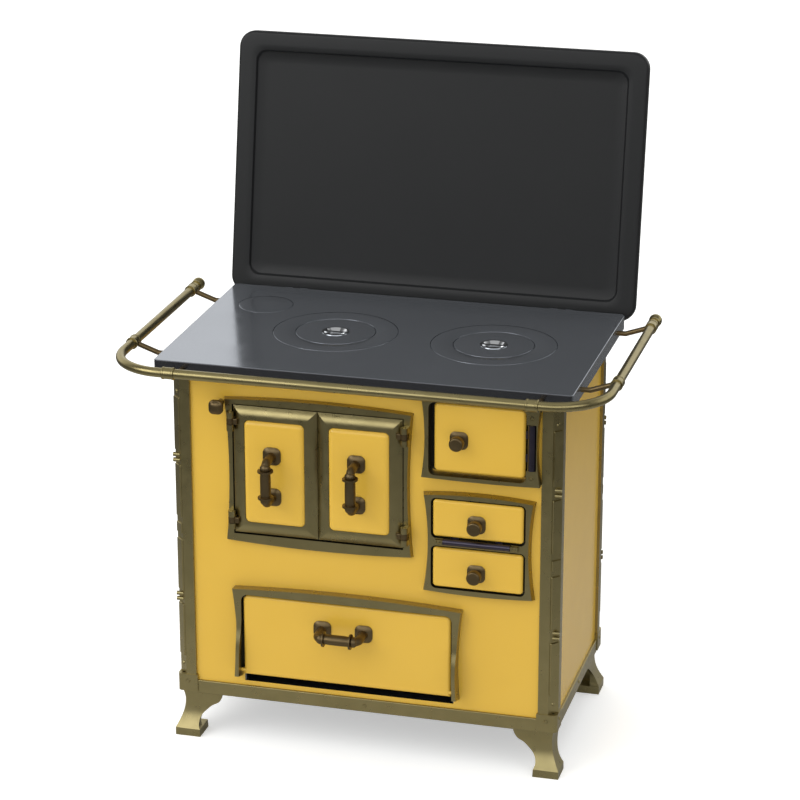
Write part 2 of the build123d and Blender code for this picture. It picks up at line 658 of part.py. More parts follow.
leaf_ridge_depth = panel_front + 1.0 + leaf_edge + leaf_bevel[1]
inset_depth = leaf_ridge_depth + inset_proud
middle_x = (oven_door_left + oven_door_right) / 2
leaf_spans = {"left": (oven_door_left, middle_x - leaf_gap / 2, hinge_left, 1),
              "right": (middle_x + leaf_gap / 2, oven_door_right, hinge_right, -1)}
for side, (x0, x1, hinge_x, inward) in leaf_spans.items():
    across, rise = leaf_bevel
    inset = (x0 + across + leaf_ridge, x1 - across - leaf_ridge,
             oven_door_low + across + leaf_ridge + 1, oven_door_high - across - leaf_ridge - 2)
    with BuildPart() as leaf:
        with BuildSketch(front(panel_front + 1.0)):
            window(x0, x1, oven_door_low, oven_door_high)
        extrude(amount=leaf_edge)
        with BuildSketch(front(panel_front + 1.0 + leaf_edge)):
            window(x0, x1, oven_door_low, oven_door_high)
        with BuildSketch(front(leaf_ridge_depth)):
            window(x0 + across, x1 - across, oven_door_low + across, oven_door_high - across)
        loft()
        with BuildSketch(front(leaf_ridge_depth - leaf_bevel[1])):
            window(*inset, inset_corner)
        extrude(amount=leaf_bevel[1] + 1, mode=Mode.SUBTRACT)
        for middle in knuckle_groups:
            with Locations((hinge_x, -axis_depth, middle)):
                Cylinder(knuckle_radius, knuckle_height)
            web = sorted((hinge_x, hinge_x + inward * 16.0))
            block((web[0], -axis_depth - 4.0, middle - knuckle_height / 2),
                  (web[1], -axis_depth + 10.0, middle + knuckle_height / 2))
            with Locations((hinge_x, -axis_depth, middle)):
                Cylinder(oven_pin + running_fit, knuckle_height + 1, mode=Mode.SUBTRACT)
    pieces["oven_door_" + side] = leaf.part
    with BuildPart() as panel:
        with BuildSketch(front(leaf_ridge_depth - leaf_bevel[1])):
            window(*inset, inset_corner)
        extrude(amount=leaf_bevel[1] + inset_proud)
        fillet(panel.faces().sort_by(Axis.Y)[0].edges(), radius=inset_roll)
    pieces["oven_inset_" + side] = panel.part
for side, x in zip(("left", "right"), oven_handle_x):
    handle("oven_handle_" + side, (x, oven_handle_z), (0, 1), inset_depth)


# ---------------------------------------------------------------- firebox and ash pit
def knob(name, place, base):
    """A rounded-square plate, a stem and a drum-shaped knob."""
    with BuildPart() as body:
        with BuildSketch(front(base)):
            with Locations(place):
                RectangleRounded(knob_plate, knob_plate, boss_corner)
        extrude(amount=knob_plate_thick)
        with BuildSketch(front(base)):
            with Locations(place):
                Circle(stem_radius)
        extrude(amount=knob_reach / 2)
        with BuildSketch(front(base + knob_reach / 2)):
            with Locations(place):
                Circle(knob_radius)
        extrude(amount=knob_reach / 2)
        fillet(body.faces().sort_by(Axis.Y)[0].edges(), radius=knob_rim)
    pieces[name] = body.part


def door_leaf(door, radius):
    """A flat enamelled door with a softened front edge, in the part that is being built."""
    with BuildSketch(front(panel_front + door_back)) as outline:
        window(*door, radius)
    extrude(outline.sketch, amount=door_wall)


fire_axis_depth = panel_front + fire_proud - 4.0
fire_barrel = (hob_height - 172.0, hob_height - 75.0)
with BuildPart() as firebox_frame:
    with BuildSketch(front(panel_front)):
        bowed(fire_left, fire_right, fire_low, fire_top, fire_bow)
        window(fire_door[0] - fire_gap[0], fire_door[1] + fire_gap[1], fire_door[2] - fire_gap[2],
               fire_door[3] + fire_gap[3], fire_corner + door_gap, mode=Mode.SUBTRACT)
    extrude(amount=fire_proud)
    # A bay in the right stile, where the hinge barrel turns.
    bay = barrel_radius + 1.5
    block((fire_door[1] - 4, -panel_front - fire_proud - 1, fire_barrel[0] - 1.0),
          (fire_axis + bay, -fire_axis_depth + bay, fire_barrel[1] + 1.0), mode=Mode.SUBTRACT)
    with Locations((fire_axis, -fire_axis_depth, (fire_barrel[0] + fire_barrel[1]) / 2)):
        Cylinder(oven_pin, fire_barrel[1] - fire_barrel[0] + 4.0)
pieces["firebox_frame"] = firebox_frame.part

door_front = panel_front + door_back + door_wall
with BuildPart() as firebox_door:
    door_leaf(fire_door, fire_corner)
    fillet(firebox_door.faces().sort_by(Axis.Y)[0].edges(), radius=door_roll)
pieces["firebox_door"] = firebox_door.part
with BuildPart() as firebox_barrel:
    # Two arms run from the barrel to the door's edge, behind its rolled front.
    arm_front = -fire_axis_depth + barrel_radius - hinge_arm[1]
    for z in (fire_barrel[0] + 1.5 * hinge_arm[0], fire_barrel[1] - 1.5 * hinge_arm[0]):
        block((fire_door[1], arm_front, z - hinge_arm[0] / 2),
              (fire_axis, arm_front + hinge_arm[1], z + hinge_arm[0] / 2))
    with Locations((fire_axis, -fire_axis_depth, (fire_barrel[0] + fire_barrel[1]) / 2)):
        Cylinder(barrel_radius, fire_barrel[1] - fire_barrel[0])
        Cylinder(oven_pin + running_fit, fire_barrel[1] - fire_barrel[0] + 1, mode=Mode.SUBTRACT)
pieces["firebox_barrel"] = firebox_barrel.part
knob("firebox_knob", fire_knob_place, door_front)

# The cast liner: open above, a hole below for the grate, a doorway and a smoke way over the oven.
liner_low = hob_height - 228.0
liner_wall = 10.0
grate_hole = (28.0, 40.0)        # its edge inside the liner's sides, and front and rear
smoke_inset = 50.0
liner_x = (fire_left + 11.5, fire_right - 21.0)
liner_y = (-inside_front, -inside_front + 396.0)
with BuildPart() as firebox_liner:
    block((liner_x[0], liner_y[0], liner_low), (liner_x[1], liner_y[1], boss_low))
    block((liner_x[0] + liner_wall, liner_y[0] + liner_wall, liner_low + liner_wall),
          (liner_x[1] - liner_wall, liner_y[1] - liner_wall, boss_low), mode=Mode.SUBTRACT)
    block((liner_x[0] + grate_hole[0], liner_y[0] + grate_hole[1], liner_low),
          (liner_x[1] - grate_hole[0], liner_y[1] - grate_hole[1], liner_low + liner_wall),
          mode=Mode.SUBTRACT)
    block((fire_opening[0], liner_y[0], fire_opening[2]),
          (fire_opening[1], liner_y[0] + liner_wall, fire_opening[3]), mode=Mode.SUBTRACT)
    block((liner_x[0], liner_y[0] + smoke_inset, oven_door_high),
          (liner_x[0] + liner_wall, liner_y[1] - smoke_inset, boss_low), mode=Mode.SUBTRACT)
pieces["firebox_liner"] = firebox_liner.part

grate_z = liner_low + liner_wall
with BuildPart() as grate:
    grate_x = (liner_x[0] + liner_wall + 2, liner_x[1] - liner_wall - 2)
    grate_y = (liner_y[0] + liner_wall + 12, liner_y[1] - liner_wall - 12)
    block((grate_x[0], grate_y[0], grate_z), (grate_x[1], grate_y[1], grate_z + 12))
    with Locations(((grate_x[0] + grate_x[1]) / 2, (grate_y[0] + grate_y[1]) / 2, grate_z + 6)):
        with GridLocations(20.0, 155.0, 8, 2):
            Box(11.0, 130.0, 12.0, mode=Mode.SUBTRACT)
pieces["grate"] = grate.part

pit_wall = 3.0
pit_low = tray_opening[2] - pit_wall
with BuildPart() as ash_pit:
    pit_x = (liner_x[0] + 8, liner_x[1] - 8)
    block((pit_x[0], liner_y[0], pit_low), (pit_x[1], liner_y[1], liner_low))
    block((pit_x[0] + pit_wall, liner_y[0] + pit_wall, pit_low + pit_wall),
          (pit_x[1] - pit_wall, liner_y[1] - pit_wall, liner_low), mode=Mode.SUBTRACT)
    for x0, x1, z0, z1 in (ash_opening, tray_opening):
        block((x0, liner_y[0], z0), (x1, liner_y[0] + pit_wall, z1), mode=Mode.SUBTRACT)
pieces["ash_pit"] = ash_pit.part

ash_axis_z = ash_door[2] - ash_axis_drop
ash_axis_depth = panel_front + 17.0
bar_x = (172.0, 313.0)
with BuildPart() as ash_frame:
    with BuildSketch(front(panel_front)):
        bowed(ash_left, ash_right, ash_low, ash_top, ash_bow)
    extrude(amount=ash_proud, taper=casting_draft)
    with BuildSketch(front(panel_front)):
        for door in (ash_door, ash_tray):
            window(door[0] - ash_gap, door[1] + ash_gap, door[2] - ash_gap, door[3] + door_gap,
                   ash_corner + door_gap)
    extrude(amount=ash_proud, mode=Mode.SUBTRACT)
    # A bay in the cross-bar for the flap's hinge, and the two ears that carry it.
    block((bar_x[0] - 1, -panel_front - ash_proud - 1, ash_axis_z - bar_radius - 1),
          (bar_x[1] + 1, -ash_axis_depth + bar_radius + 1, ash_door[2] - ash_gap + 1), mode=Mode.SUBTRACT)
    for x in (bar_x[0] - 9.0, bar_x[1] + 9.0):
        block((x - 7.5, -ash_axis_depth - 5.0, ash_axis_z - 6.0), (x + 7.5, -panel_front, ash_axis_z + 5.0))
    with Locations(((bar_x[0] + bar_x[1]) / 2, -ash_axis_depth, ash_axis_z)):
        Cylinder(oven_pin, bar_x[1] - bar_x[0] + 6.0, rotation=(0, 90, 0))
pieces["ash_frame"] = ash_frame.part

bar_middle = ((bar_x[0] + bar_x[1]) / 2, -ash_axis_depth, ash_axis_z)
with BuildPart() as ash_flap:
    door_leaf(ash_door, ash_corner)
    fillet(ash_flap.faces().sort_by(Axis.Y)[0].edges(), radius=door_roll)
pieces["ash_flap"] = ash_flap.part
with BuildPart() as ash_hinge_bar:
    # Two arms run from the bar up to the flap's lower edge.
    arm_front = -ash_axis_depth + bar_radius - hinge_arm[1]
    for x in (bar_x[0] + 1.5 * hinge_arm[0], bar_x[1] - 1.5 * hinge_arm[0]):
        block((x - hinge_arm[0] / 2, arm_front, ash_axis_z),
              (x + hinge_arm[0] / 2, arm_front + hinge_arm[1], ash_door[2]))
    with Locations(bar_middle):
        Cylinder(bar_radius, bar_x[1] - bar_x[0], rotation=(0, 90, 0))
        Cylinder(oven_pin + running_fit, bar_x[1] - bar_x[0] + 1, rotation=(0, 90, 0), mode=Mode.SUBTRACT)
pieces["ash_hinge_bar"] = ash_hinge_bar.part
knob("ash_flap_knob", (ash_knob_x, (ash_door[2] + ash_door[3]) / 2 - ash_knob_drop), door_front)

with BuildPart() as ash_drawer:
    door_leaf(ash_tray, ash_corner)
    fillet(ash_drawer.faces().sort_by(Axis.Y)[0].edges(), radius=door_roll)
    pan = (tray_opening[0] + 2, tray_opening[1] - 2, tray_opening[2] + clearance, tray_opening[3] - 10)
    pan_rear = liner_y[1] - 30.0
    block((pan[0], -panel_front - 2.0, pan[2]), (pan[1], pan_rear, pan[3]))
    block((pan[0] + 2, -panel_front, pan[2] + 2), (pan[1] - 2, pan_rear - 2, pan[3]), mode=Mode.SUBTRACT)
pieces["ash_drawer"] = ash_drawer.part
knob("ash_drawer_knob", (ash_knob_x, (ash_tray[2] + ash_tray[3]) / 2 - ash_knob_drop), door_front)

# ---------------------------------------------------------------- wood bin
wood_axis_depth = panel_front + 12.0
with BuildPart() as wood_frame:
    left = wood_middle - wood_half
    right = wood_middle + wood_half
    with BuildSketch(front(panel_front)):
        with BuildLine():
            foot_left = (wood_middle - wood_half_low, wood_low)
            foot_right = (wood_middle + wood_half_low, wood_low)
            waist_z = (wood_low + wood_high) / 2 + 12.0
            Line(foot_left, foot_right)
            ThreePointArc(foot_right, (wood_middle + wood_half_waist, waist_z), (right, wood_high))
            ThreePointArc((right, wood_high), (wood_middle, wood_high + 8), (left, wood_high))
            ThreePointArc((left, wood_high), (wood_middle - wood_half_waist, waist_z), foot_left)
        make_face()
        window(wood_door[0] - door_gap, wood_door[1] + door_gap, wood_low - 60, wood_door[3] + door_gap,
               wood_corner + door_gap, mode=Mode.SUBTRACT)
        # The cheeks thin towards their feet.
        for edge, out in ((wood_door[0] - door_gap, -1), (wood_door[1] + door_gap, 1)):
            with BuildLine():
                Polyline((edge, wood_high - cheek_shares[0] * wood_height), (edge, wood_low),
                         (edge + out * cheek_thinning, wood_low), close=True)
            make_face(mode=Mode.SUBTRACT)
    extrude(amount=cheek_low_proud)
    # The front steps back above the cheeks' swell, and the bottom edge rises forward.
    with BuildSketch(Plane.YZ.offset(left - 10)):
        base = -panel_front
        top = base - cheek_top_proud
        belly = base - cheek_low_proud
        past = 20.0                  # how far the cut runs past the frame
        step_z = wood_high - cheek_shares[0] * wood_height
        swell_z = wood_axis + cheek_shares[1] * wood_height
        belly_z = wood_axis + cheek_shares[2] * wood_height
        with BuildLine():
            Line((top, wood_high + past), (top, step_z))
            Spline((top, step_z), (top - 9, swell_z), (belly, belly_z), tangents=((0, -1), (0, -1)))
            Line((belly, belly_z), (belly, wood_low + wood_axis_rise))
            Line((belly, wood_low + wood_axis_rise), (base, wood_low))
            Line((base, wood_low), (base, wood_low - past))
            Line((base, wood_low - past), (belly - past, wood_low - past))
            Line((belly - past, wood_low - past), (belly - past, wood_high + past))
            Line((belly - past, wood_high + past), (top, wood_high + past))
        make_face()
    extrude(amount=2 * wood_half + 20, mode=Mode.SUBTRACT)
    with Locations((wood_middle, -wood_axis_depth, wood_axis)):
        Cylinder(wood_pin + running_fit, 2 * wood_half + 20, rotation=(0, 90, 0), mode=Mode.SUBTRACT)
pieces["wood_frame"] = wood_frame.part

with BuildPart() as wood_flap:
    door_leaf(wood_door, 0.0)
    fillet(wood_flap.edges().filter_by(Axis.Y).group_by(Axis.Z)[-1], radius=wood_corner)
    fillet(wood_flap.faces().sort_by(Axis.Y)[0].edges(), radius=door_roll)
    with Locations(((wood_door[0] + wood_door[1]) / 2, -wood_axis_depth, wood_axis)):
        Cylinder(wood_pin, wood_door[1] - wood_door[0] + 2 * wood_pin_reach, rotation=(0, 90, 0))
pieces["wood_flap"] = wood_flap.part
handle("wood_handle", wood_handle_place, (1, 0), door_front)

with BuildPart() as wood_bin:
    bin_x = (wood_opening[0] + 4, wood_opening[1] - 4)
    bin_z = (wood_opening[2] - 4, wood_opening[3] + 4)
    bin_y = (-inside_front, -inside_front + 420.0)
    block((bin_x[0] - 4, bin_y[0], bin_z[0]), (bin_x[1] + 4, bin_y[1], bin_z[1]))
    block((bin_x[0] - 4 + liner_sheet, bin_y[0], bin_z[0] + liner_sheet),
          (bin_x[1] + 4 - liner_sheet, bin_y[1] - liner_sheet, bin_z[1] - liner_sheet), mode=Mode.SUBTRACT)
pieces["wood_bin"] = wood_bin.part

# ---------------------------------------------------------------- flue box and damper
flue_x = (-post_inner_x, oven_opening[0] - 3.0)
flue_front = flue_place[1] - flue_radius - boss_rim - 5.0
flue_low = hob_height - 160.0
with BuildPart() as flue_box:
    block((flue_x[0], flue_front, flue_low), (flue_x[1], inside_rear, boss_low))
    block((flue_x[0] + liner_sheet, flue_front + liner_sheet, flue_low + liner_sheet),
          (flue_x[1] - liner_sheet, inside_rear - liner_sheet, boss_low), mode=Mode.SUBTRACT)
    with Locations((damper_place[0], flue_front, damper_place[1])):
        Cylinder(damper_port, 12, rotation=(90, 0, 0), mode=Mode.SUBTRACT)
pieces["flue_box"] = flue_box.part

knob_base = panel_front + damper_stand
disc_wall = 4.0
with BuildPart() as damper:
    with Locations((damper_place[0], flue_front, damper_place[1])):
        Cylinder(damper_disc, disc_wall, rotation=(90, 0, 0), align=(Align.CENTER, Align.CENTER, Align.MIN))
    with BuildSketch(front(-flue_front + disc_wall)):
        with Locations(damper_place):
            Circle(damper_rod)
    extrude(amount=knob_base + flue_front - disc_wall)
pieces["damper"] = damper.part
with BuildPart() as damper_bush:
    with BuildSketch(front(panel_front)):
        with Locations(damper_place):
            Circle(damper_rod + 3)
            Circle(damper_rod + running_fit, mode=Mode.SUBTRACT)
    extrude(amount=9.0)
pieces["damper_bush"] = damper_bush.part
with BuildPart() as damper_knob:
    with BuildSketch(front(knob_base)):
        with Locations(damper_place):
            RectangleRounded(damper_knob_width, damper_knob_width, damper_knob_corner)
    extrude(amount=damper_knob_thick)
    fillet(damper_knob.faces().sort_by(Axis.Y)[0].edges(), radius=knob_rim)
pieces["damper_knob"] = damper_knob.part

# ---------------------------------------------------------------- towel rail
with BuildPart() as towel_rail:
    with BuildLine():
        FilletPolyline((-rail_side, rail_rear, rail_z), (-rail_side, -rail_front, rail_z),
                       (rail_side, -rail_front, rail_z), (rail_side, rail_rear, rail_z), radius=rail_elbow)
    with BuildSketch(Plane(origin=(-rail_side, rail_rear, rail_z), z_dir=(0, -1, 0))):
        Circle(rail_radius)
        Circle(rail_radius - rail_wall, mode=Mode.SUBTRACT)
    sweep()
pieces["towel_rail"] = towel_rail.part

clamp_places = [((side * rail_side, y, rail_z), (90, 0, 0)) for side in (-1, 1)
                for y in (-clamp_side_y, clamp_side_y)]
clamp_places += [((x, -rail_front, rail_z), (0, 90, 0)) for x in (-clamp_front_x, clamp_front_x)]
with BuildPart() as rail_clamps:
    for place, turn in clamp_places:
        with Locations(Location(place, turn)):
            Cylinder(clamp_radius, clamp_length)
            Cylinder(rail_radius, clamp_length + 1, mode=Mode.SUBTRACT)
pieces["rail_clamps"] = rail_clamps.part

with BuildPart() as rail_finials:
    for side in (-1, 1):
        with Locations((side * rail_side, rail_rear + finial_radius, rail_z)):
            Sphere(finial_radius)
        with Locations((side * rail_side, rail_rear, rail_z)):
            Box(3 * finial_radius, 3 * finial_radius, 3 * finial_radius,
                align=(Align.CENTER, Align.MAX, Align.CENTER), mode=Mode.SUBTRACT)
pieces["rail_finials"] = rail_finials.part

rod_z = hob_height - skirt_height / 2
rod_straight = 18.0          # a rod leaves the skirt square for this far
rod_bend = 12.0
rod_short = 6.0              # and ends short of the tube's axis, inside its clamp


def rod(start, bend, end):
    """A bent rod from the hob's skirt to a clamp, in the part that is being built."""
    with BuildLine() as path:
        FilletPolyline(start, bend, end, radius=rod_bend)
    with BuildSketch(Plane(origin=start, z_dir=Vector(*bend) - Vector(*start))) as section:
        Circle(rail_rod)
    sweep(section.sketch, path=path.wires()[0])


with BuildPart() as rail_rods:
    for side in (-1, 1):
        for y in (-clamp_side_y, clamp_side_y):
            face = hob_width / 2
            rod((side * face, y, rod_z), (side * (face + rod_straight), y, rod_z),
                (side * (rail_side - rod_short), y, rail_z - 2))
        x = side * clamp_front_x
        face = -hob_depth / 2
        rod((x, face, rod_z), (x, face - rod_straight, rod_z), (x, -rail_front + rod_short, rail_z - 2))
    for place, turn in clamp_places:
        with Locations(Location(place, turn)):
            Cylinder(clamp_radius, clamp_length + 8, mode=Mode.SUBTRACT)
pieces["rail_rods"] = rail_rods.part


# ---------------------------------------------------------------- screws and rivets
def stud_places():
    """Where the dome heads stand: a point on the face they fasten, and the way they face."""
    mirrored = []
    chamfer_x = half_width - post_chamfer / 2
    chamfer_y = half_depth - post_chamfer / 2
    foot_x = half_width + collar_proud
    foot_y = half_depth + collar_proud
    middle_z = (cabinet_top + leg_height) / 2 + post_middle_above
    for share in post_screws:
        z = middle_z + share * (cabinet_top - middle_z)
        mirrored.append(((chamfer_x, chamfer_y, z), (1, 1, 0)))
    mirrored.append(((foot_x - 23.5, foot_y, leg_height + 24.0), (0, 1, 0)))
    mirrored.append(((foot_x, foot_y - 23.5, leg_height + 24.0), (1, 0, 0)))
    places = []
    for point, outward in mirrored:
        for side in (-1, 1):
            for end in (-1, 1):
                places.append(((side * point[0], cabinet_middle + end * point[1], point[2]),
                               (side * outward[0], end * outward[1], 0)))
    trim_middle = trim_low + trim_height / 2
    for end in (-1, 1):
        trim_face = half_depth - post_wall + trim_wall
        places.append(((0, cabinet_middle + end * trim_face, trim_middle), (0, end, 0)))
        places.append(((end * (panel_x + trim_wall), cabinet_middle, trim_middle), (end, 0, 0)))
    for z in (fire_barrel[0] - 16.0, fire_barrel[1] + 16.0):
        places.append(((fire_axis, -panel_front - fire_proud, z), (0, -1, 0)))
    for x in (bar_x[0] - 9.0, bar_x[1] + 9.0):
        places.append(((x, -ash_axis_depth - 5.0, ash_axis_z), (0, -1, 0)))
    return places


with BuildPart() as dome_screws:
    for point, outward in stud_places():
        with BuildSketch(Plane(origin=point, z_dir=outward)):
            Circle(stud_radius)
        extrude(amount=stud_rise, taper=38)
pieces["dome_screws"] = dome_screws.part

# ---------------------------------------------------------------- placing and writing
os.makedirs("parts", exist_ok=True)
boxes = [piece.bounding_box() for piece in pieces.values()]
nearest = min(box.min.Y for box in boxes)
farthest = max(box.max.Y for box in boxes)
origin_shift = -(nearest + farthest) / 2
print("nodes", len(pieces), "shift in Y", round(origin_shift, 3))
for name, piece in pieces.items():
    placed = piece.moved(Location((0, origin_shift, 0)))
    placed.label = name
    export_step(placed, f"parts/{name}.step")
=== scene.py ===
# %% [markdown]
# # A wood cookstove
# The real object is an enamelled kitchen stove: a yellow cabinet between cast brass posts, a steel hob
# under a hinged charcoal lid, and a towel rail round three sides.  Its frame, doors and hinges come
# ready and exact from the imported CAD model.  This lesson loads them, gives every surface its real
# finish, and models again, as smooth numpy surfaces, the pieces whose curves the eye goes to first.

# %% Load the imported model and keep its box
import json
import bpy
import numpy as np
from math import radians
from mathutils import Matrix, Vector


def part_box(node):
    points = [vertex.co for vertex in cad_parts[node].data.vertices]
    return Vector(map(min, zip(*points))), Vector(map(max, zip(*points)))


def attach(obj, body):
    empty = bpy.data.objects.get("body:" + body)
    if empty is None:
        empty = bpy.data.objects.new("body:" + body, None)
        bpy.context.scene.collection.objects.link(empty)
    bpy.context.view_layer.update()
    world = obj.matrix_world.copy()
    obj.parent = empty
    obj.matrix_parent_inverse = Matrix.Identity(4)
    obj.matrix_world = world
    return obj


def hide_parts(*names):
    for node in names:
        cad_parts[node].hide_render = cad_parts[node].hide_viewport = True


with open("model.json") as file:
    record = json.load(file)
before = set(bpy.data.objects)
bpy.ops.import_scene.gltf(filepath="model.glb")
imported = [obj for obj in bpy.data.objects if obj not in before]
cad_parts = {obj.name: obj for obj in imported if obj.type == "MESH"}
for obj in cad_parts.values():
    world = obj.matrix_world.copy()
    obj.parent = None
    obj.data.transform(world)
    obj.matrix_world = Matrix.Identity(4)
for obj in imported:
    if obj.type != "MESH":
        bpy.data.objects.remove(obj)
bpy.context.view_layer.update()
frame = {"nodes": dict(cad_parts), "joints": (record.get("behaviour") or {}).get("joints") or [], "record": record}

# %% [markdown]
# ## Sizes and places
# Sizes are written in millimetres, as a maker would say them, and one factor turns them into Blender's
# metres.  A new piece takes its place from the box of the CAD node that it stands for, so nothing has
# to be fitted by eye.

# %% Millimetres, directions and the box of a node
MM = 0.001
X, Y, Z = np.eye(3)


def middle_of(node):
    """The middle of a node's box, and its two corners."""
    low, high = (np.array(v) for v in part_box(node))
    return (low + high) / 2, low, high


hob_depth = 550 * MM
hob_middle_y = middle_of("cooktop_plate")[1][1] + hob_depth / 2
cooking_height = middle_of("burner_ring_left")[2][2]
print("cooking surface at", round(cooking_height / MM, 1), "mm")

# %% [markdown]
# ## Colours and shader nodes
# Colours are written as sRGB hex, the way they look on a screen.  A shader wants linear light, so one
# function turns the one into the other.  Every material is built with one more function, which adds a
# shader node with its settings and its links.

# %% From a screen colour to light
def linear(hex_colour):
    """Each sRGB channel c becomes c/12.92 when dark, else ((c + 0.055) / 1.055) ** 2.4."""
    srgb = np.array([int(hex_colour[i:i + 2], 16) for i in (1, 3, 5)]) / 255
    light = np.where(srgb <= 0.04045, srgb / 12.92, ((srgb + 0.055) / 1.055) ** 2.4)
    return (*light.tolist(), 1.0)


print("the enamel's yellow as light", [round(v, 3) for v in linear("#E0B442")])

# %% A shader node with its settings and links
FACTOR, FIRST, SECOND, MIXED = 0, 6, 7, 2    # the colour sockets of a Mix node


def add_node(tree, kind, inputs=None, output=0, **settings):
    """Settings are the node's own properties, and inputs are its sockets, each a value or a link.
    It gives back one output, ready to be another node's input, or the node itself if it has none."""
    made = tree.nodes.new(kind)
    for key, value in settings.items():
        setattr(made, key, value)
    for key, value in (inputs or {}).items():
        if isinstance(value, bpy.types.NodeSocket):
            tree.links.new(value, made.inputs[key])
        else:
            made.inputs[key].default_value = value
    return made.outputs[output] if made.outputs else made


# %% An empty material
def new_material(name):
    """A material without nodes, its tree, and the place on the object in millimetres."""
    material = bpy.data.materials.new(name)
    material.use_nodes = True
    tree = material.node_tree
    tree.nodes.clear()
    metres = add_node(tree, "ShaderNodeTexCoord", output="Object")
    return material, tree, add_node(tree, "ShaderNodeMapping", {"Vector": metres, "Scale": (1 / MM,) * 3})


# %% [markdown]
# ## Clouds, and where a coat ends
# No real finish is quite even.  Noise gives each one clouds of a real width, in its colour, its gloss and
# its relief.  A coat can also end at a line: at an edge, which the object's own normal finds, or inside a
# box, which its place finds.

# %% Clouds of a real width
noise_dark, noise_bright = 0.3, 0.7    # nearly all of the noise lies between these


def clouds(tree, place, size_mm, detail=3.0, stretch=(1, 1, 1), spread=None):
    """Noise whose blobs are about size_mm across, packed tighter along an axis whose stretch is above 1.
    With spread, its dark and its bright blobs become those two values."""
    scale = tuple(s / size_mm for s in stretch)
    scaled = add_node(tree, "ShaderNodeMapping", {"Vector": place, "Scale": scale})
    noise = add_node(tree, "ShaderNodeTexNoise", {"Vector": scaled, "Scale": 1.0, "Detail": detail}, "Fac")
    if spread is None:
        return noise
    return add_node(tree, "ShaderNodeMapRange", {
        "Value": noise, "From Min": noise_dark, "From Max": noise_bright,
        "To Min": spread[0], "To Max": spread[1]})


def cloudy_tone(tree, place, size_mm, dark, bright, detail=3.0):
    """A colour that drifts between two hex colours, in clouds about size_mm across."""
    return add_node(tree, "ShaderNodeMix", {
        FACTOR: clouds(tree, place, size_mm, detail), FIRST: linear(dark), SECOND: linear(bright)},
        MIXED, data_type="RGBA")


# %% Where a coat ends
def squareness(tree):
    """How squarely a face looks forwards or back: |y| of the object's own normal."""
    normal = add_node(tree, "ShaderNodeTexCoord", output="Normal")
    forwards = add_node(tree, "ShaderNodeSeparateXYZ", {"Vector": normal}, "Y")
    return add_node(tree, "ShaderNodeMath", {0: forwards}, operation="ABSOLUTE")


def outside_box(tree, place, low, high):
    """1 outside two corners in millimetres and 0 between them: there |p - middle| - half is below 0 on
    all three axes."""
    from_middle = add_node(tree, "ShaderNodeVectorMath", {0: place, 1: tuple((low + high) / 2)},
                           operation="SUBTRACT")
    either_way = add_node(tree, "ShaderNodeVectorMath", {0: from_middle}, operation="ABSOLUTE")
    past = add_node(tree, "ShaderNodeVectorMath", {0: either_way, 1: tuple((high - low) / 2)},
                    operation="SUBTRACT")
    parts = add_node(tree, "ShaderNodeSeparateXYZ", {"Vector": past}).node.outputs
    furthest = add_node(tree, "ShaderNodeMath", {0: parts["X"], 1: parts["Y"]}, operation="MAXIMUM")
    furthest = add_node(tree, "ShaderNodeMath", {0: furthest, 1: parts["Z"]}, operation="MAXIMUM")
    return add_node(tree, "ShaderNodeMath", {0: furthest, 1: 0.0}, operation="GREATER_THAN")


# %% [markdown]
# ## Vitreous enamel
# The yellow panels are sheet steel with glass fused onto it.  Glass gives a clear gloss over an even
# colour, so the shader is a plain dielectric with a glass-like IOR and low roughness.  The fired coat
# isn't dead flat: it keeps a faint orange peel a few millimetres wide, and it runs a touch deeper in
# colour where it lies thicker.  On doors and on the front panel, faces that turn away from the front are
# painted near-black, and so is the front panel inside each door's frame: painted shade, which draws the
# dark line in the gap round each door.

# %% The enamel's sizes in millimetres
tone_drift, gloss_drift = 240, 60
peel_width, peel_depth = 5.0, 0.012
side_shade_full, side_shade_gone = 0.12, 0.42    # squareness at which the painted shade is whole, and at which it has gone
panel_reach = 500                      # the painted shade inside a frame reaches through the whole thickness of the panel


def vitreous_enamel(name, deep, full, roughness, ior=1.5, painted_gap_shade=False, shaded_frames=()):
    """Faces turned away from the front can be painted near-black as shade in the gaps, and so can the panel
    inside each given frame: a node, and how far the painted rectangle lies within that node's box."""
    material, tree, place = new_material(name)
    colour = cloudy_tone(tree, place, tone_drift, deep, full)
    if painted_gap_shade:
        unshaded = add_node(tree, "ShaderNodeMapRange", {
            "Value": squareness(tree), "From Min": side_shade_full, "From Max": side_shade_gone})
        for node, margin in shaded_frames:
            _, low, high = (v / MM for v in middle_of(node))
            drawn_in = np.array([margin, -panel_reach, margin])
            outside = outside_box(tree, place, low + drawn_in, high - drawn_in)
            unshaded = add_node(tree, "ShaderNodeMath", {0: unshaded, 1: outside}, operation="MULTIPLY")
        # painted shade: near-black where a face turns away from the front, and inside each frame of the front
        # panel
        colour = add_node(tree, "ShaderNodeMix", {
            FACTOR: unshaded, FIRST: linear("#17160F"), SECOND: colour}, MIXED, data_type="RGBA")
    peel = add_node(tree, "ShaderNodeBump", {
        "Height": clouds(tree, place, peel_width, detail=1.0), "Distance": peel_depth * MM, "Strength": 1.0})
    shader = add_node(tree, "ShaderNodeBsdfPrincipled", {
        "Base Color": colour, "IOR": ior, "Normal": peel,
        "Roughness": clouds(tree, place, gloss_drift, spread=(roughness, roughness + 0.04))})
    add_node(tree, "ShaderNodeOutputMaterial", {"Surface": shader})
    return material


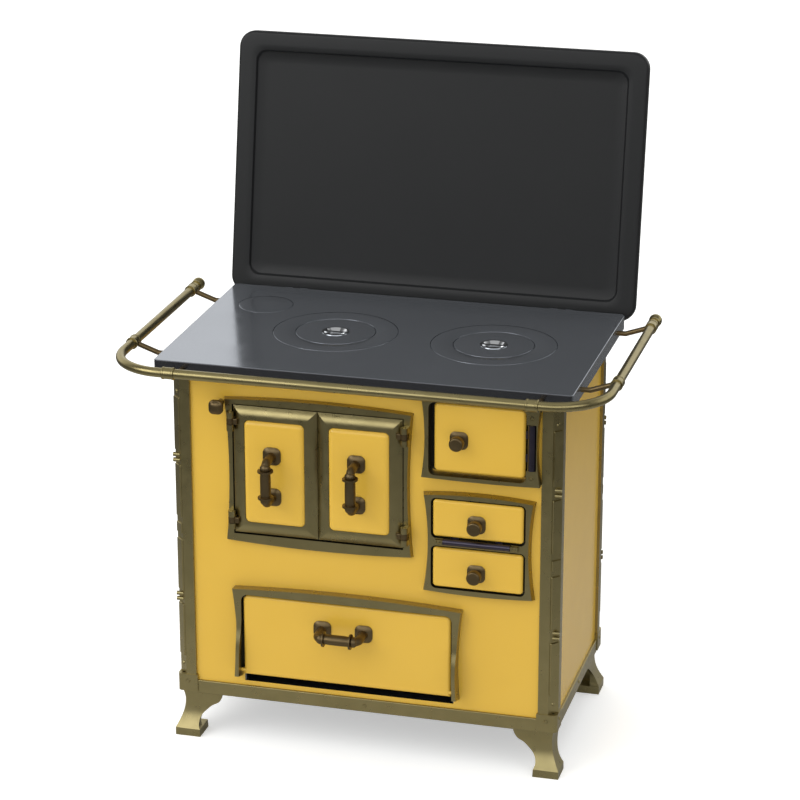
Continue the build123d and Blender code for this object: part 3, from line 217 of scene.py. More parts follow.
# %% Yellow enamel on plain sheet, on doors and on the front panel, and charcoal enamel on the lid
yellow = ("#E0B442", "#E8BD4B", 0.16)
# frames inside which the front panel is painted near-black as shade, each drawn in by so many millimetres
door_shaded_frames = [("oven_frame", 18), ("firebox_frame", 13), ("ash_frame", 13), ("wood_frame", 14)]
yellow_enamel = vitreous_enamel("yellow_vitreous_enamel", *yellow)
door_enamel = vitreous_enamel("yellow_vitreous_enamel_door_painted_shade", *yellow, painted_gap_shade=True)
panel_enamel = vitreous_enamel("yellow_vitreous_enamel_panel_painted_shade", *yellow, painted_gap_shade=True, shaded_frames=door_shaded_frames)
charcoal_enamel = vitreous_enamel("charcoal_vitreous_enamel", "#191A1B", "#1D1E1F", 0.4, ior=1.4)
# the number of frames inside which the front panel has painted shade
print("ground coat bare in", len(door_shaded_frames), "seats of the front panel")

# %% [markdown]
# ## Antiqued brass
# Posts, frames, legs and handles are brass-plated castings, toned brown-green and waxed to a satin.
# The tone isn't even: it is darker in clouds a few centimetres wide, and the casting skin under the
# plating shows as a fine grain.  The oven's frame is painted black in a box just round the doors: painted
# shade, a fine dark line round the doors, a little wider at the left and below.

# %% The brass's sizes in millimetres
patina_drift, wax_drift = 45, 18
casting_grain, casting_depth = 1.6, 0.005


def antiqued_brass(name, dark, bright, roughness, painted_shade_box=None):
    """With a painted shade box, two corners in metres, the metal between them is painted black as shade."""
    material, tree, place = new_material(name)
    tone = cloudy_tone(tree, place, patina_drift, dark, bright, detail=5.0)
    # painted shade: black inside the box, a fine dark line round the oven doors
    if painted_shade_box:
        clear = outside_box(tree, place, *(corner / MM for corner in painted_shade_box))
        tone = add_node(tree, "ShaderNodeMix", {FACTOR: clear, FIRST: linear("#100F0B"), SECOND: tone},
                        MIXED, data_type="RGBA")
    grain = add_node(tree, "ShaderNodeBump", {
        "Height": clouds(tree, place, casting_grain, detail=2.0), "Distance": casting_depth * MM,
        "Strength": 1.0})
    wax = clouds(tree, place, wax_drift, detail=4.0, spread=(roughness - 0.04, roughness + 0.06))
    shader = add_node(tree, "ShaderNodeBsdfPrincipled", {
        "Base Color": tone, "Metallic": 1.0, "Roughness": wax, "Normal": grain})
    add_node(tree, "ShaderNodeOutputMaterial", {"Surface": shader})
    return material


# %% Brass for castings, for the oven's frame and for handles
satin_brass = ("#988D62", "#AEA174", 0.3)
before_face, shade_depth = 0.1 * MM, 100 * MM    # the frame's face is in the pillows' own rear plane
left_low = middle_of("oven_inset_left")[1]
right_high = middle_of("oven_inset_right")[2]
# the box of painted shade round the oven doors, a little wider at the left and below
shade_low = np.array([left_low[0] - 29.5 * MM, right_high[1] - before_face, left_low[2] - 32.5 * MM])
shade_high = right_high + np.array([26 * MM, shade_depth, 28 * MM])
brass = antiqued_brass("antiqued_brass", *satin_brass)
shaded_frame_brass = antiqued_brass("antiqued_brass_oven_frame_painted_shade", *satin_brass, painted_shade_box=(shade_low, shade_high))
brass_handles = antiqued_brass("antiqued_brass_handles", "#6A5A40", "#79694B", 0.4)
# the size of the painted shade round the oven doors
print("sealing cord round", np.round((shade_high - shade_low)[[0, 2]] / MM), "mm")

# %% [markdown]
# ## Metals
# The hob is ground steel under a thin film of baked-on oil: a soft mirror with grinding lines too fine to
# see one by one, drawn a little coarser here.  The film scatters some light, so the steel isn't wholly
# metallic and never goes black where it mirrors the dark lid.  Its faces that look forwards or back are
# painted darker: painted shade.  The lifter cups are chromed, the hinge barrels blued, and what hides inside
# the stove is plain sheet and raw cast iron.

# %% A worked metal: its clouds, and the marks of the tool
front_shade_begins, front_shade_whole = 0.4, 0.8    # squareness at which the painted shade of faces that look forwards or back begins, and is all there is


def worked_metal(name, dark, bright, roughness, cloud_mm, grain_mm, depth_mm, stretch=(1, 1, 1),
                 metallic=1.0, edge=None):
    """The grain is stretched along the tool's stroke.  With edge, faces that look forwards or back are painted
    that colour, as painted shade."""
    material, tree, place = new_material(name)
    tone = cloudy_tone(tree, place, cloud_mm, dark, bright, detail=4.0)
    # painted shade: where ground falls to 0, faces that look forwards or back take the edge colour
    if edge:
        ground = add_node(tree, "ShaderNodeMapRange", {
            "Value": squareness(tree), "From Min": front_shade_begins, "From Max": front_shade_whole,
            "To Min": 1.0, "To Max": 0.0})
        tone = add_node(tree, "ShaderNodeMix", {FACTOR: ground, FIRST: linear(edge), SECOND: tone},
                        MIXED, data_type="RGBA")
    grain = add_node(tree, "ShaderNodeBump", {
        "Height": clouds(tree, place, grain_mm, detail=2.0, stretch=stretch), "Distance": depth_mm * MM,
        "Strength": 1.0})
    polish = clouds(tree, place, cloud_mm / 3, spread=(roughness - 0.03, roughness + 0.03))
    shader = add_node(tree, "ShaderNodeBsdfPrincipled", {
        "Base Color": tone, "Metallic": metallic, "Roughness": polish, "Normal": grain})
    add_node(tree, "ShaderNodeOutputMaterial", {"Surface": shader})
    return material


# %% Steels and iron
oiled_steel = dict(dark="#9DA2A9", bright="#A8ADB4", roughness=0.15, cloud_mm=160, grain_mm=3.0,
                   depth_mm=0.003, stretch=(0.03, 1, 1), metallic=0.83)
ground_steel = worked_metal("ground_steel", **oiled_steel)
# the hob's faces that look forwards or back are painted darker, as painted shade
hob_plate = worked_metal("ground_hob_plate", **oiled_steel, edge="#55565A")
chrome = worked_metal("bright_chrome", "#D8DADC", "#E6E8EA", 0.08, 60, 4.0, 0.002)
blued_steel = worked_metal("blued_steel", "#4C4854", "#5A5562", 0.3, 40, 2.0, 0.01, stretch=(1, 1, 0.1))
sheet_steel = worked_metal("plain_sheet_steel", "#8C8E90", "#9A9C9E", 0.42, 120, 6.0, 0.02)
cast_iron = worked_metal("raw_cast_iron", "#3A3A3A", "#4A4A4A", 0.62, 30, 1.2, 0.12)
print("grinding lines", round(oiled_steel["grain_mm"] / oiled_steel["stretch"][0]), "mm long")

# %% Every CAD node gets its finish
finishes = {
    "antiqued_brass": brass, "antiqued_brass_screws": brass, "yellow_enamel": yellow_enamel,
    "charcoal_enamel": charcoal_enamel, "hob_steel": ground_steel, "chrome": chrome,
    "blued_steel": blued_steel, "sheet_steel": sheet_steel, "cast_iron": cast_iron,
}
own_finishes = {
    "cooktop_plate": hob_plate, "rail_rods": brass_handles, "oven_frame": shaded_frame_brass,
    "front_panel": panel_enamel, "wood_flap": door_enamel, "firebox_door": door_enamel,
    "ash_flap": door_enamel, "ash_drawer": door_enamel,
}
slots = {entry["node"]: entry["material_slot"] for entry in frame["record"]["subparts"]}
for name, piece in frame["nodes"].items():
    piece.data.materials.clear()
    piece.data.materials.append(own_finishes.get(name, finishes[slots[name]]))
print("finished", len(slots), "CAD nodes,", len(own_finishes), "of them in their own way")

# %% [markdown]
# ## Surfaces from grids
# A smooth piece is a grid of points: rows along it, columns round it.  numpy works out all the points
# at once, and one helper joins neighbours into quads, closes the grid round its columns, and caps
# its ends with a fan of triangles.

# %% From a grid of points to a mesh
crease = radians(38)    # two faces that meet more sharply than this keep a hard edge


def skin(name, grid, material, body, replaced=(), capped=True, loop=False):
    """Quads join point (row, column) to its next row and next column, and the last column meets the first.
    With loop the last row meets the first too, or else a fan closes each end when capped.  The triple
    products of all faces add up to their volume, and where that is negative the faces are turned round."""
    rows, columns, _ = grid.shape
    points = grid.reshape(-1, 3)
    index = np.arange(rows * columns).reshape(rows, columns)
    here = np.concatenate([index, index[:1]]) if loop else index
    after = np.roll(here, -1, axis=1)
    quads = np.stack([here[:-1], after[:-1], after[1:], here[1:]], axis=-1).reshape(-1, 4)
    fans = np.empty((0, 3), int)
    if capped and not loop:
        ends = index[[0, -1]]
        first, last = np.stack([ends, np.roll(ends, -1, axis=1)], axis=-1)
        centre = np.full((columns, 1), len(points))
        fans = np.concatenate([np.hstack([first[:, ::-1], centre]), np.hstack([last, centre + 1])])
        points = np.concatenate([points, grid[[0, -1]].mean(axis=1)])
    corner = (points - points.mean(axis=0))[np.concatenate([quads[:, :3], quads[:, [0, 2, 3]], fans])]
    volume = np.einsum("ij,ij->", corner[:, 0], np.cross(corner[:, 1], corner[:, 2])) / 6
    step = 1 if volume > 0 else -1
    mesh = bpy.data.meshes.new(name)
    mesh.from_pydata(points.tolist(), [], quads[:, ::step].tolist() + fans[:, ::step].tolist())
    mesh.shade_smooth()
    mesh.set_sharp_from_angle(angle=crease)
    mesh.materials.append(material)
    mesh.update()
    piece = bpy.data.objects.new(name, mesh)
    bpy.context.scene.collection.objects.link(piece)
    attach(piece, body)
    if replaced:
        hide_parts(*replaced)
    return piece


# %% Rings round a path, and rings round one axis
def ring(axis, across, sides):
    """Points once round an axis: cos a times across, plus sin a times the direction square to both."""
    angle = np.linspace(0, 2 * np.pi, sides, endpoint=False)[:, None]
    return np.cos(angle) * across + np.sin(angle) * np.cross(axis, across)


def tube(path, radii, across, sides=32):
    """Rings of the given radii along a path that lies in one plane; across is square to that plane."""
    tangent = np.gradient(path, axis=0)
    tangent /= np.linalg.norm(tangent, axis=1, keepdims=True)
    radii = np.broadcast_to(radii, len(path))
    return path[:, None] + radii[:, None, None] * ring(tangent[:, None], across, sides)


def turned(axis_point, axis, profile, sides=40):
    """Each (distance along the axis, radius) of the profile becomes a ring round the axis."""
    along, radii = np.transpose(profile)[:, :, None, None]
    across = X if abs(axis[0]) < 0.5 else Z
    return axis_point + along * axis + radii * ring(axis, across, sides)


print("rows, columns and coordinates of a rod:", turned((0, 0, 0), Z, [(0, 1), (5, 1)]).shape)


# %% Rings of a rounded rectangle, carried inwards and outwards
least_corner = 0.2 * MM


def rounded_outline(half_width, half_height, corner, arc_steps=11):
    """A rounded rectangle, anticlockwise: four quarter circles, and three points along each straight side."""
    arcs = []
    for turn, (sx, sy) in enumerate(((1, 1), (-1, 1), (-1, -1), (1, -1))):
        angle = np.linspace(0, np.pi / 2, arc_steps) + turn * np.pi / 2
        arcs.append(np.column_stack([sx * (half_width - corner) + corner * np.cos(angle),
                                     sy * (half_height - corner) + corner * np.sin(angle)]))
    share = np.array([[0.02], [0.5], [0.98]])
    sides = [arcs[i][-1] * (1 - share) + arcs[(i + 1) % 4][0] * share for i in range(4)]
    return np.concatenate([part for pair in zip(arcs, sides) for part in pair])


def pressed(centre, right, up, outward, size, rows):
    """Rings of a rounded rectangle.  Each row is (inset, height, corner, shrink): how far its outline is
    drawn in, how high it stands along outward, its corner radius, and its scale about the middle."""
    rings = []
    for inset, height, corner, shrink in rows:
        across, along = np.broadcast_to(inset, 2)
        outline = rounded_outline(size[0] / 2 - across, size[1] / 2 - along, max(corner, least_corner))
        rings.append(centre + shrink * (outline[:, :1] * right + outline[:, 1:] * up) + height * outward)
    return np.array(rings)


def rolled(across, rise, inset, height, corner, steps=9):
    """Rows of a quarter ellipse, from an upright wall at (inset, height) into a flat."""
    turn = np.linspace(0, np.pi / 2, steps)
    drawn_in = across * (1 - np.cos(turn))
    return [(inset + d, height + up, corner - d, 1.0) for d, up in zip(drawn_in, rise * np.sin(turn))]


def crowned(rise, power, inset, height, corner, smallest=0.12, steps=12):
    """Rows scaled by s towards the middle, which stand rise * (1 - s ** power) above height."""
    return [(inset, height + rise * (1 - s ** power), corner, s) for s in np.linspace(1, smallest, steps)[1:]]


print("one outline has", len(rounded_outline(1, 1, 0.1)), "points")


# %% [markdown]
# ## The lid
# The lid is pressed from sheet: a rolled rim, a flat border, and a panel sunk by one soft step.  It
# leans back on its hinges.  Its rings are rounded rectangles in the plane of the lid, carried from the
# middle of the back, round the rim, and in over the step.  The hinge tells where that plane lies.

# %% The lid's plane
lid_joint = next(j for j in frame["joints"] if j["child"] == "lid")
lid_axis = np.array([0, *lid_joint["pos_m"][1:]])
lean = radians(10)
lid_up = np.array([0, np.sin(lean), np.cos(lean)])
lid_out = np.array([0, -np.cos(lean), np.sin(lean)])
lid_size = np.array([915, 580.5]) * MM
axis_before_face = 11 * MM
axis_above_edge = 14.5 * MM
lid_centre = lid_axis - axis_before_face * lid_out + (lid_size[1] / 2 - axis_above_edge) * lid_up
print("the middle of the lid's face", np.round(lid_centre / MM, 1), "mm")

# %% The lid's pressing
lid_thick, sheet, rim = 22 * MM, 2 * MM, 7 * MM
border, recess, step_across = 40 * MM, 6 * MM, 5 * MM
lid_corner, border_corner, step_corner, panel_corner = 36 * MM, 26 * MM, 24 * MM, 12 * MM
inner_corner = lid_corner - sheet
rim_edge = 1 * MM - lid_thick
panel_inset = border + 30 * MM
step = np.linspace(0, 1, 9)
soft_step = 3 * step ** 2 - 2 * step ** 3
back_rows = [(panel_inset, -recess - sheet, panel_corner - sheet, k) for k in (0.4, 0.8, 1.0)]
back_rows += [(border + step_across * (1 - t) - sheet / 2, -sheet - recess * (1 - k),
               step_corner - 2 * sheet, 1.0) for t, k in zip(step, soft_step)]
back_rows += rolled(rim - sheet, rim - sheet, sheet, -rim, inner_corner)[::-1]
back_rows += [(sheet, rim_edge, inner_corner, 1.0), (sheet / 2, -lid_thick, lid_corner - sheet / 2, 1.0)]
front_rows = [(0, rim_edge, lid_corner, 1.0)] + rolled(rim, rim, 0, -rim, lid_corner)
front_rows += [(border - 12 * MM, 0, border_corner, 1.0)]
front_rows += [(border + step_across * t, -recess * k, step_corner, 1.0) for t, k in zip(step, soft_step)]
front_rows += [(panel_inset, -recess, panel_corner, k) for k in (1.0, 0.8, 0.4)]
lid_rings = pressed(lid_centre, X, lid_up, lid_out, lid_size, back_rows + front_rows)
lid = skin("lid_pressing", lid_rings, charcoal_enamel, "lid", replaced=["lid"])
print("the lid has", len(lid.data.polygons), "faces")

# %% [markdown]
# A hinge knuckle is a short barrel on a pin, with its edges broken, and a web joins it to what it
# carries.  The lid has two, and each oven door two.

# %% The lid's knuckles
pin_hole = 3.1 * MM


def knuckle(half, radius, broken):
    """(Along, radius): up from the pin's hole, over the broken edge, along, and the same way down again."""
    one_end = [(-half, pin_hole), (-half, radius - broken), (-half + broken, radius)]
    return one_end + [(-along, r) for along, r in reversed(one_end)]


web_size, web_corner = (17 * MM, 8 * MM), 1.5 * MM
web_rows = [(0, reach, web_corner, 1.0) for reach in (4 * MM, 19 * MM)]
for number, x in enumerate((-300 * MM, 300 * MM), 1):
    place = lid_axis + x * X
    skin(f"lid_knuckle_{number}", turned(place, X, knuckle(8.5 * MM, 5.5 * MM, 0.6 * MM)), charcoal_enamel,
         "lid", loop=True)
    skin(f"lid_web_{number}", pressed(place, X, lid_up, -lid_out, web_size, web_rows), charcoal_enamel,
         "lid")
print("the lid turns about", np.round(lid_axis[1:] / MM, 1), "mm")

# %% [markdown]
# ## Oven doors
# Each oven door is a cast frame round a pillow of enamelled steel.  The casting rises from its edge by a
# convex bevel, mitred at its corners, nearly to the pillow, and drops to the bed where that lies.  Its
# edge has a casting's draft, so the two doors almost meet in front and clear each other behind.  Frame
# and pillow are rings of rounded rectangles again, with nearly sharp corners on the casting.  The hinge
# knuckles on its outer edge are turned.

# %% A door's casting
leaf_edge, shoulder, leaf_rise = 12 * MM, 0.5 * MM, 10 * MM
leaf_across, draft, lap, top_lap = 22.5 * MM, 1.2 * MM, 0.6 * MM, 0.8 * MM
sharp, bed_corner = 0.3 * MM, 11 * MM
bed = (25 * MM, 26.5 * MM)    # from the casting's edge to the pillow, beside it and above it


def oven_leaf(side):
    """The bevel stands (rise - shoulder) * (1 - (1 - t)^2) over its shoulder, with t from edge to ridge."""
    node = "oven_door_" + side
    middle, low, high = middle_of("oven_inset_" + side)
    back = middle_of(node)[2][1]
    size = (high - low)[[0, 2]] + 2 * np.array(bed) + (2 * lap, 2 * lap + top_lap)
    centre = np.array([middle[0], back, middle[2] + top_lap / 2])
    ridge = leaf_edge + leaf_rise
    bed_inset = (bed[0] + lap, bed[1] + lap + top_lap / 2)
    rows = [(draft, 0, sharp, 0.5), (draft, 0, sharp, 1.0)]
    rows += [((leaf_across + lap) * t, leaf_edge + shoulder + (leaf_rise - shoulder) * (1 - (1 - t) ** 2),
              sharp, 1.0) for t in np.linspace(0, 1, 16)]
    rows += [(bed_inset, ridge, bed_corner, 1.0), (bed_inset, leaf_edge, bed_corner, 1.0),
             (bed_inset, leaf_edge, bed_corner, 0.5)]
    return skin("oven_leaf_" + side, pressed(centre, X, Z, -Y, size, rows), brass, node, replaced=[node])


# %% The castings, with the knuckles and straps that they hang on
knuckle_heights = (517.5 * MM, 736 * MM)
strap_round, strap_thick, strap_corner = 2 * MM, 12 * MM, 2.2 * MM
strap_rows = [(0, 0, 1 * MM, 1.0)]
strap_rows += rolled(strap_round, strap_round, 0, strap_thick - strap_round, strap_corner)
strap_size = (10 * MM, 13 * MM)
strap_beside_axis, strap_behind_axis = 11 * MM, 8 * MM
for side, inward in (("left", 1), ("right", -1)):
    leaf = oven_leaf(side)
    print(leaf.name, np.round(np.array(leaf.dimensions) / MM, 1), "mm")
    node = "oven_door_" + side
    x, y, _ = next(j for j in frame["joints"] if j["child"] == node)["pos_m"]
    for number, z in enumerate(knuckle_heights, 1):
        skin(f"oven_{side}_knuckle_{number}", turned((x, y, z), Z, knuckle(6.5 * MM, 8 * MM, 0.8 * MM)),
             brass_handles, node, loop=True)
        foot = np.array([x + inward * strap_beside_axis, y + strap_behind_axis, z])
        skin(f"oven_{side}_strap_{number}", pressed(foot, X, Z, -Y, strap_size, strap_rows), brass_handles,
             node)

# %% [markdown]
# ## The enamelled pillows
# A pillow is nearly flat in its middle and rolls over its edge, so its face follows a high power of the
# distance from the middle and its edge a quarter of an ellipse.

# %% The pillows
pillow_roll, pillow_rise, pillow_crown = 12 * MM, 8.5 * MM, 1.2 * MM
face_corner = 2 * MM


def pillow(side):
    """A rolled edge, then a face that stands crown * (1 - s^4) above it, with s from 1 to nearly 0."""
    node = "oven_inset_" + side
    centre, low, high = middle_of(node)
    base = np.array([centre[0], high[1], centre[2]])
    shoulder_height = high[1] - low[1] - pillow_crown
    rows = [(0, 0, bed_corner, 1.0)]
    rows += rolled(pillow_roll, pillow_rise, 0, shoulder_height - pillow_rise, bed_corner, steps=12)
    rows += crowned(pillow_crown, 4, pillow_roll, shoulder_height, face_corner, steps=14)
    return skin("oven_pillow_" + side, pressed(base, X, Z, -Y, (high - low)[[0, 2]], rows), yellow_enamel,
                "oven_door_" + side, replaced=[node])


for side in ("left", "right"):
    made = pillow(side)
    print(made.name, np.round(np.array(made.dimensions) / MM, 1), "mm")

# %% [markdown]
# ## Handset handles
# The handles are cast like an old telephone's handset: a domed square boss at each end, a swan neck
# that swells from it, a bead and a flange, and a round grip between.  Necks and grip are one path in a
# plane: out from a boss, round a quarter turn, along, and back.  The radius along the run draws the
# swell, the bead, the flange and the grip.

# %% Swells and bosses
def smooth(t):
    """0 to 1 with a level start and end: 3t^2 - 2t^3."""
    t = np.clip(t, 0, 1)
    return t * t * (3 - 2 * t)


def bulge(run, centre, half, height):
    """A half ellipse of this height over the run, 0 outside it."""
    return height * np.sqrt(np.clip(1 - ((run - centre) / half) ** 2, 0, None))


def domed_square(name, foot, width, corner, edge, rise, body):
    """A plate with an upright edge, whose face rises by (1 - s^3) to its middle."""
    rows = [(0, 0, corner, 1.0), (0, edge, corner, 1.0)] + crowned(rise, 3, 0, edge, corner)
    return skin(name, pressed(foot, X, Z, -Y, (width, width), rows), brass_handles, body)


# %% A handle between two bosses
boss, boss_corner, boss_edge, boss_rise = 38 * MM, 12 * MM, 2.5 * MM, 5 * MM
stand, bend = 47 * MM, 14 * MM
neck_radius, neck_swell, neck_swells_over = 9.2 * MM, 3.5 * MM, 11 * MM
bead_before_corner, bead_half, bead_height = 4 * MM, 4.2 * MM, 2.4 * MM
flange_radius, flange_width = 16.5 * MM, 4 * MM
grip_radius, grip_swell, grip_swells_over = 10.6 * MM, 0.6 * MM, 20 * MM
fine_before, fine_past = 11 * MM, 6 * MM    # the run is divided finely from the neck's end into the grip


def handle_radius(run, corner):
    """The largest of four shapes at each point of the run: neck, bead, flange just past the corner, grip."""
    neck = neck_radius + neck_swell * (1 - smooth(run / neck_swells_over))
    bead = neck_radius + bulge(run, corner - bead_before_corner, bead_half, bead_height)
    flange = flange_radius * ((run > corner) & (run < corner + flange_width))
    swollen = grip_radius + grip_swell * smooth((run - corner) / grip_swells_over)
    return np.maximum.reduce([neck, bead, flange, np.where(run > corner + flange_width, swollen, 0)])


def handle(name, node, along, body):
    """A handset handle in place of a node, its bosses at the ends of the node's box.  The path goes straight
    out, round a quarter circle and along to the middle, and the other half mirrors it."""
    centre, low, high = middle_of(node)
    half_span = ((high - low) @ along - boss) / 2
    feet = [np.array([centre[0], high[1], centre[2]]) + end * half_span * along for end in (-1, 1)]
    corner = stand - bend + bend * np.pi / 2
    fine = np.linspace(corner - fine_before, corner + fine_past, 46)
    run = np.unique(np.concatenate([np.linspace(0, corner + half_span - bend, 40), fine]))
    turn = np.clip((run - (stand - bend)) / bend, 0, np.pi / 2)
    reach = np.minimum(run, stand - bend) + bend * np.sin(turn)
    shift = bend * (1 - np.cos(turn)) + np.clip(run - corner, 0, None)
    near_half = feet[0] + shift[:, None] * along - reach[:, None] * Y
    far_half = feet[1] - shift[:, None] * along - reach[:, None] * Y
    radii = handle_radius(run, corner)
    casting = tube(np.concatenate([near_half, far_half[-2::-1]]), np.concatenate([radii, radii[-2::-1]]),
                   np.cross(along, -Y))
    skin(name + "_grip", casting, brass_handles, body, replaced=[node])
    for number, foot in enumerate(feet, 1):
        domed_square(f"{name}_boss_{number}", foot, boss, boss_corner, boss_edge, boss_rise, body)


handle("oven_handle_left_cast", "oven_handle_left", Z, "oven_door_left")
handle("oven_handle_right_cast", "oven_handle_right", Z, "oven_door_right")
handle("wood_handle_cast", "wood_handle", X, "wood_flap")
print("handles stand", stand / MM, "mm out")

# %% [markdown]
# ## Knobs
# A knob is a domed square plate, a waisted stem and a drum with a softened rim.  Stem and drum are one
# profile turned round the knob's own axis.

# %% Drum knobs
plate_edge, plate_rise = 1.5 * MM, 4 * MM
stem = np.array([(3, 11), (7, 9.6), (11, 9.6), (13, 11), (14, 13.6), (15, 15)]) * MM
rim_radius, face_radius = 4 * MM, 11 * MM


def drum_knob(node, body):
    """The stem narrows to its waist and opens into a drum 30 mm across, whose rim is a quarter circle."""
    centre, low, high = middle_of(node)
    base = np.array([centre[0], high[1], centre[2]])
    reach = high[1] - low[1]
    plate = domed_square(node + "_plate", base, boss, boss_corner, plate_edge, plate_rise, body)
    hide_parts(node)
    round_rim = [(reach - rim_radius * (1 - np.sin(a)), face_radius + rim_radius * np.cos(a))
                 for a in np.linspace(0, np.pi / 2, 8)]
    hollow_face = [(reach - 0.6 * MM, 7 * MM), (reach - 1 * MM, 3 * MM)]
    skin(node + "_drum", turned(base, -Y, [*stem, *round_rim, *hollow_face]), brass_handles, body)
    print(node, "stands", round(reach / MM, 1), "mm out")


for node, body in (("firebox_knob", "firebox_door"), ("ash_flap_knob", "ash_flap"),
                   ("ash_drawer_knob", "ash_drawer")):
    drum_knob(node, body)

# %% The damper's square knob: a soft-edged block with a domed face
damper_width, damper_corner, damper_block, damper_dome = 30 * MM, 10 * MM, 9 * MM, 5 * MM
soft_edge = 1.5 * MM
soft_corner = damper_corner - soft_edge
centre, _, high = middle_of("damper_knob")
damper_foot = np.array([centre[0], high[1], centre[2]])
damper_rows = [(soft_edge, 0, soft_corner, 1.0), (0, soft_edge, damper_corner, 1.0)]
damper_rows += rolled(soft_edge, soft_edge, 0, damper_block - soft_edge, damper_corner)
damper_rows += crowned(damper_dome, 3, soft_edge, damper_block, soft_corner, smallest=0.15, steps=9)
damper_rings = pressed(damper_foot, X, Z, -Y, (damper_width, damper_width), damper_rows)
skin("damper_knob_cast", damper_rings, brass_handles, "damper", replaced=["damper_knob"])
print("damper knob at", np.round(damper_foot / MM, 1), "mm")

# %% [markdown]
# ## Burner rings, discs and the flue cover
# The rings and discs are turned from plate.  Their top edges are broken by a small radius, so that each
# gap shows as a fine dark circle.  Each is one profile turned round the burner's middle, and the ring's
# profile closes on itself.

# %% Turned plates in the hob
seat, foot_depth, lip, broken = 6 * MM, 11.5 * MM, 6.5 * MM, 0.7 * MM
hub, well_radius, well_depth = 12 * MM, 27 * MM, 7 * MM


def turned_plate(name, node, outer, bore=0, well=False):
    """A stepped plate: full radius down to its seat, then a lip less.  It has a bore, a well for the lifter
    cup, or neither."""
    middle, _, high = middle_of(node)
    top = np.array([middle[0], middle[1], high[2]])
    turn = np.linspace(0, np.pi / 2, 6)
    profile = [(broken * (1 - np.cos(a)), outer - broken * (1 - np.sin(a))) for a in turn]
    profile += [(seat, outer), (seat, outer - lip), (foot_depth, outer - lip)]
    if bore:
        inside = [(foot_depth, bore - lip), (seat, bore - lip), (seat, bore)]
        inside += [(broken * (1 - np.sin(a)), bore + broken * (1 - np.cos(a))) for a in turn[:-1]]
        profile = inside + profile
    else:
        middle_rows = [(well_depth, hub), (well_depth, well_radius), (0, well_radius)] if well else [(0, hub)]
        profile = middle_rows + profile + [(foot_depth, hub)]
    skin(name, turned(top, -Z, profile, sides=128), ground_steel, node, replaced=[node],
         loop=bool(bore))


ring_radius, ring_bore, disc_radius, cover_radius = 132.2 * MM, 86 * MM, 84.4 * MM, 58.8 * MM
for side in ("left", "right"):
    turned_plate(f"burner_{side}_turned_ring", "burner_ring_" + side, ring_radius, bore=ring_bore)
    turned_plate(f"burner_{side}_turned_disc", "burner_disc_" + side, disc_radius, well=True)
turned_plate("flue_turned_cover", "flue_cover", cover_radius)
print("gap round a disc", round((ring_bore - disc_radius) / MM, 1), "mm")

# %% [markdown]
# ## The towel rail
# One drawn tube bends round three sides of the hob.  It is a straight run, a quarter circle, a straight
# run, a quarter circle and a run back, so the tube is carried along exactly that path.

# %% The rail's tube
rail_centre, rail_low, rail_high = middle_of("towel_rail")
tube_radius, elbow = 10 * MM, 115 * MM
side_x = rail_high[0] - tube_radius
front_y = rail_low[1] + tube_radius
rear_y = rail_high[1]
quarter = np.linspace(0, np.pi / 2, 25)
side_run = np.column_stack([np.full(20, -side_x), np.linspace(rear_y, front_y + elbow, 20)])
bend_run = np.column_stack([-side_x + elbow * (1 - np.cos(quarter)), front_y + elbow * (1 - np.sin(quarter))])
front_run = np.column_stack([np.linspace(-side_x + elbow, 0, 16), np.full(16, front_y)])
half_rail = np.concatenate([side_run[:-1], bend_run[:-1], front_run])
whole_rail = np.concatenate([half_rail, (half_rail * (-1, 1))[-2::-1]])
rail_path = np.column_stack([whole_rail, np.full(len(whole_rail), rail_centre[2])])
skin("rail_drawn_tube", tube(rail_path, tube_radius, Z, sides=36), brass, "cabinet",
     replaced=["towel_rail"])
rail_length = np.linalg.norm(np.diff(rail_path, axis=0), axis=1).sum()
print("tube", round(rail_length / MM), "mm long")

# %% Finials at the rail's ends: a collar, then a ball
ball = 14 * MM
ball_starts = 4.5 * MM
collar = [(-6, 10.2), (-6, 12), (-4, 12.8), (-1, 12), (0, 9)]
ball_turn = np.linspace(0, np.pi, 25)
ball_rows = np.column_stack([ball * (1 - np.cos(ball_turn)), ball * np.sin(ball_turn)])
ball_rows = ball_rows[(ball_rows[:, 0] > ball_starts) & (ball_rows[:, 1] > 1 * MM)]
finial = np.concatenate([np.array(collar) * MM, ball_rows])
for number, side in enumerate((-1, 1), 1):
    skin(f"rail_finial_{number}", turned((side * side_x, rear_y, rail_centre[2]), Y, finial), brass,
         "cabinet", replaced=["rail_finials"])
print("ball", 2 * ball / MM, "mm across")

# %% Clamps where the rods hold the rail: a band with a bead at each end
half_clamp = [(-13, 10.1), (-13, 12), (-12, 13), (-9, 13), (-8, 12.2)]
clamp = np.array(half_clamp + [(-along, r) for along, r in reversed(half_clamp)]) * MM
clamp_y, clamp_x = 188 * MM, 377 * MM
clamps = [((side * side_x, hob_middle_y + y), Y) for side in (-1, 1) for y in (-clamp_y, clamp_y)]
clamps += [((x, front_y), X) for x in (-clamp_x, clamp_x)]
for number, (place, axis) in enumerate(clamps, 1):
    skin(f"rail_clamp_{number}", turned((*place, rail_centre[2]), axis, clamp), brass, "cabinet",
         replaced=["rail_clamps"], capped=False)
print(len(clamps), "clamps on the rail")

# %% [markdown]
# ## The studio
# White paper on the floor, a white wall behind, and in front a dim room with one long window low in its
# wall.  Polished things show their surroundings: the dim room gives brass its dark faces, and the window
# draws one bright line along each rounding.  Matt light comes from a soft sky and two softboxes.  The
# camera itself sees white everywhere, and the floor keeps the stove's shadow.

# %% What a ray is for
def mirrored_ray(tree):
    """1 for a ray that gloss or glass sends out, and 0 for every other."""
    rays = add_node(tree, "ShaderNodeLightPath").node.outputs
    return add_node(tree, "ShaderNodeMath", {0: rays["Is Glossy Ray"], 1: rays["Is Transmission Ray"]},
                    operation="MAXIMUM")


# %% The paper on the floor
glow_seen, glow_mirrored = 0.42, 0.06
fade_reach, fade_near, fade_far = 2200, 0.38, 0.9    # in millimetres, and shares of the dim room


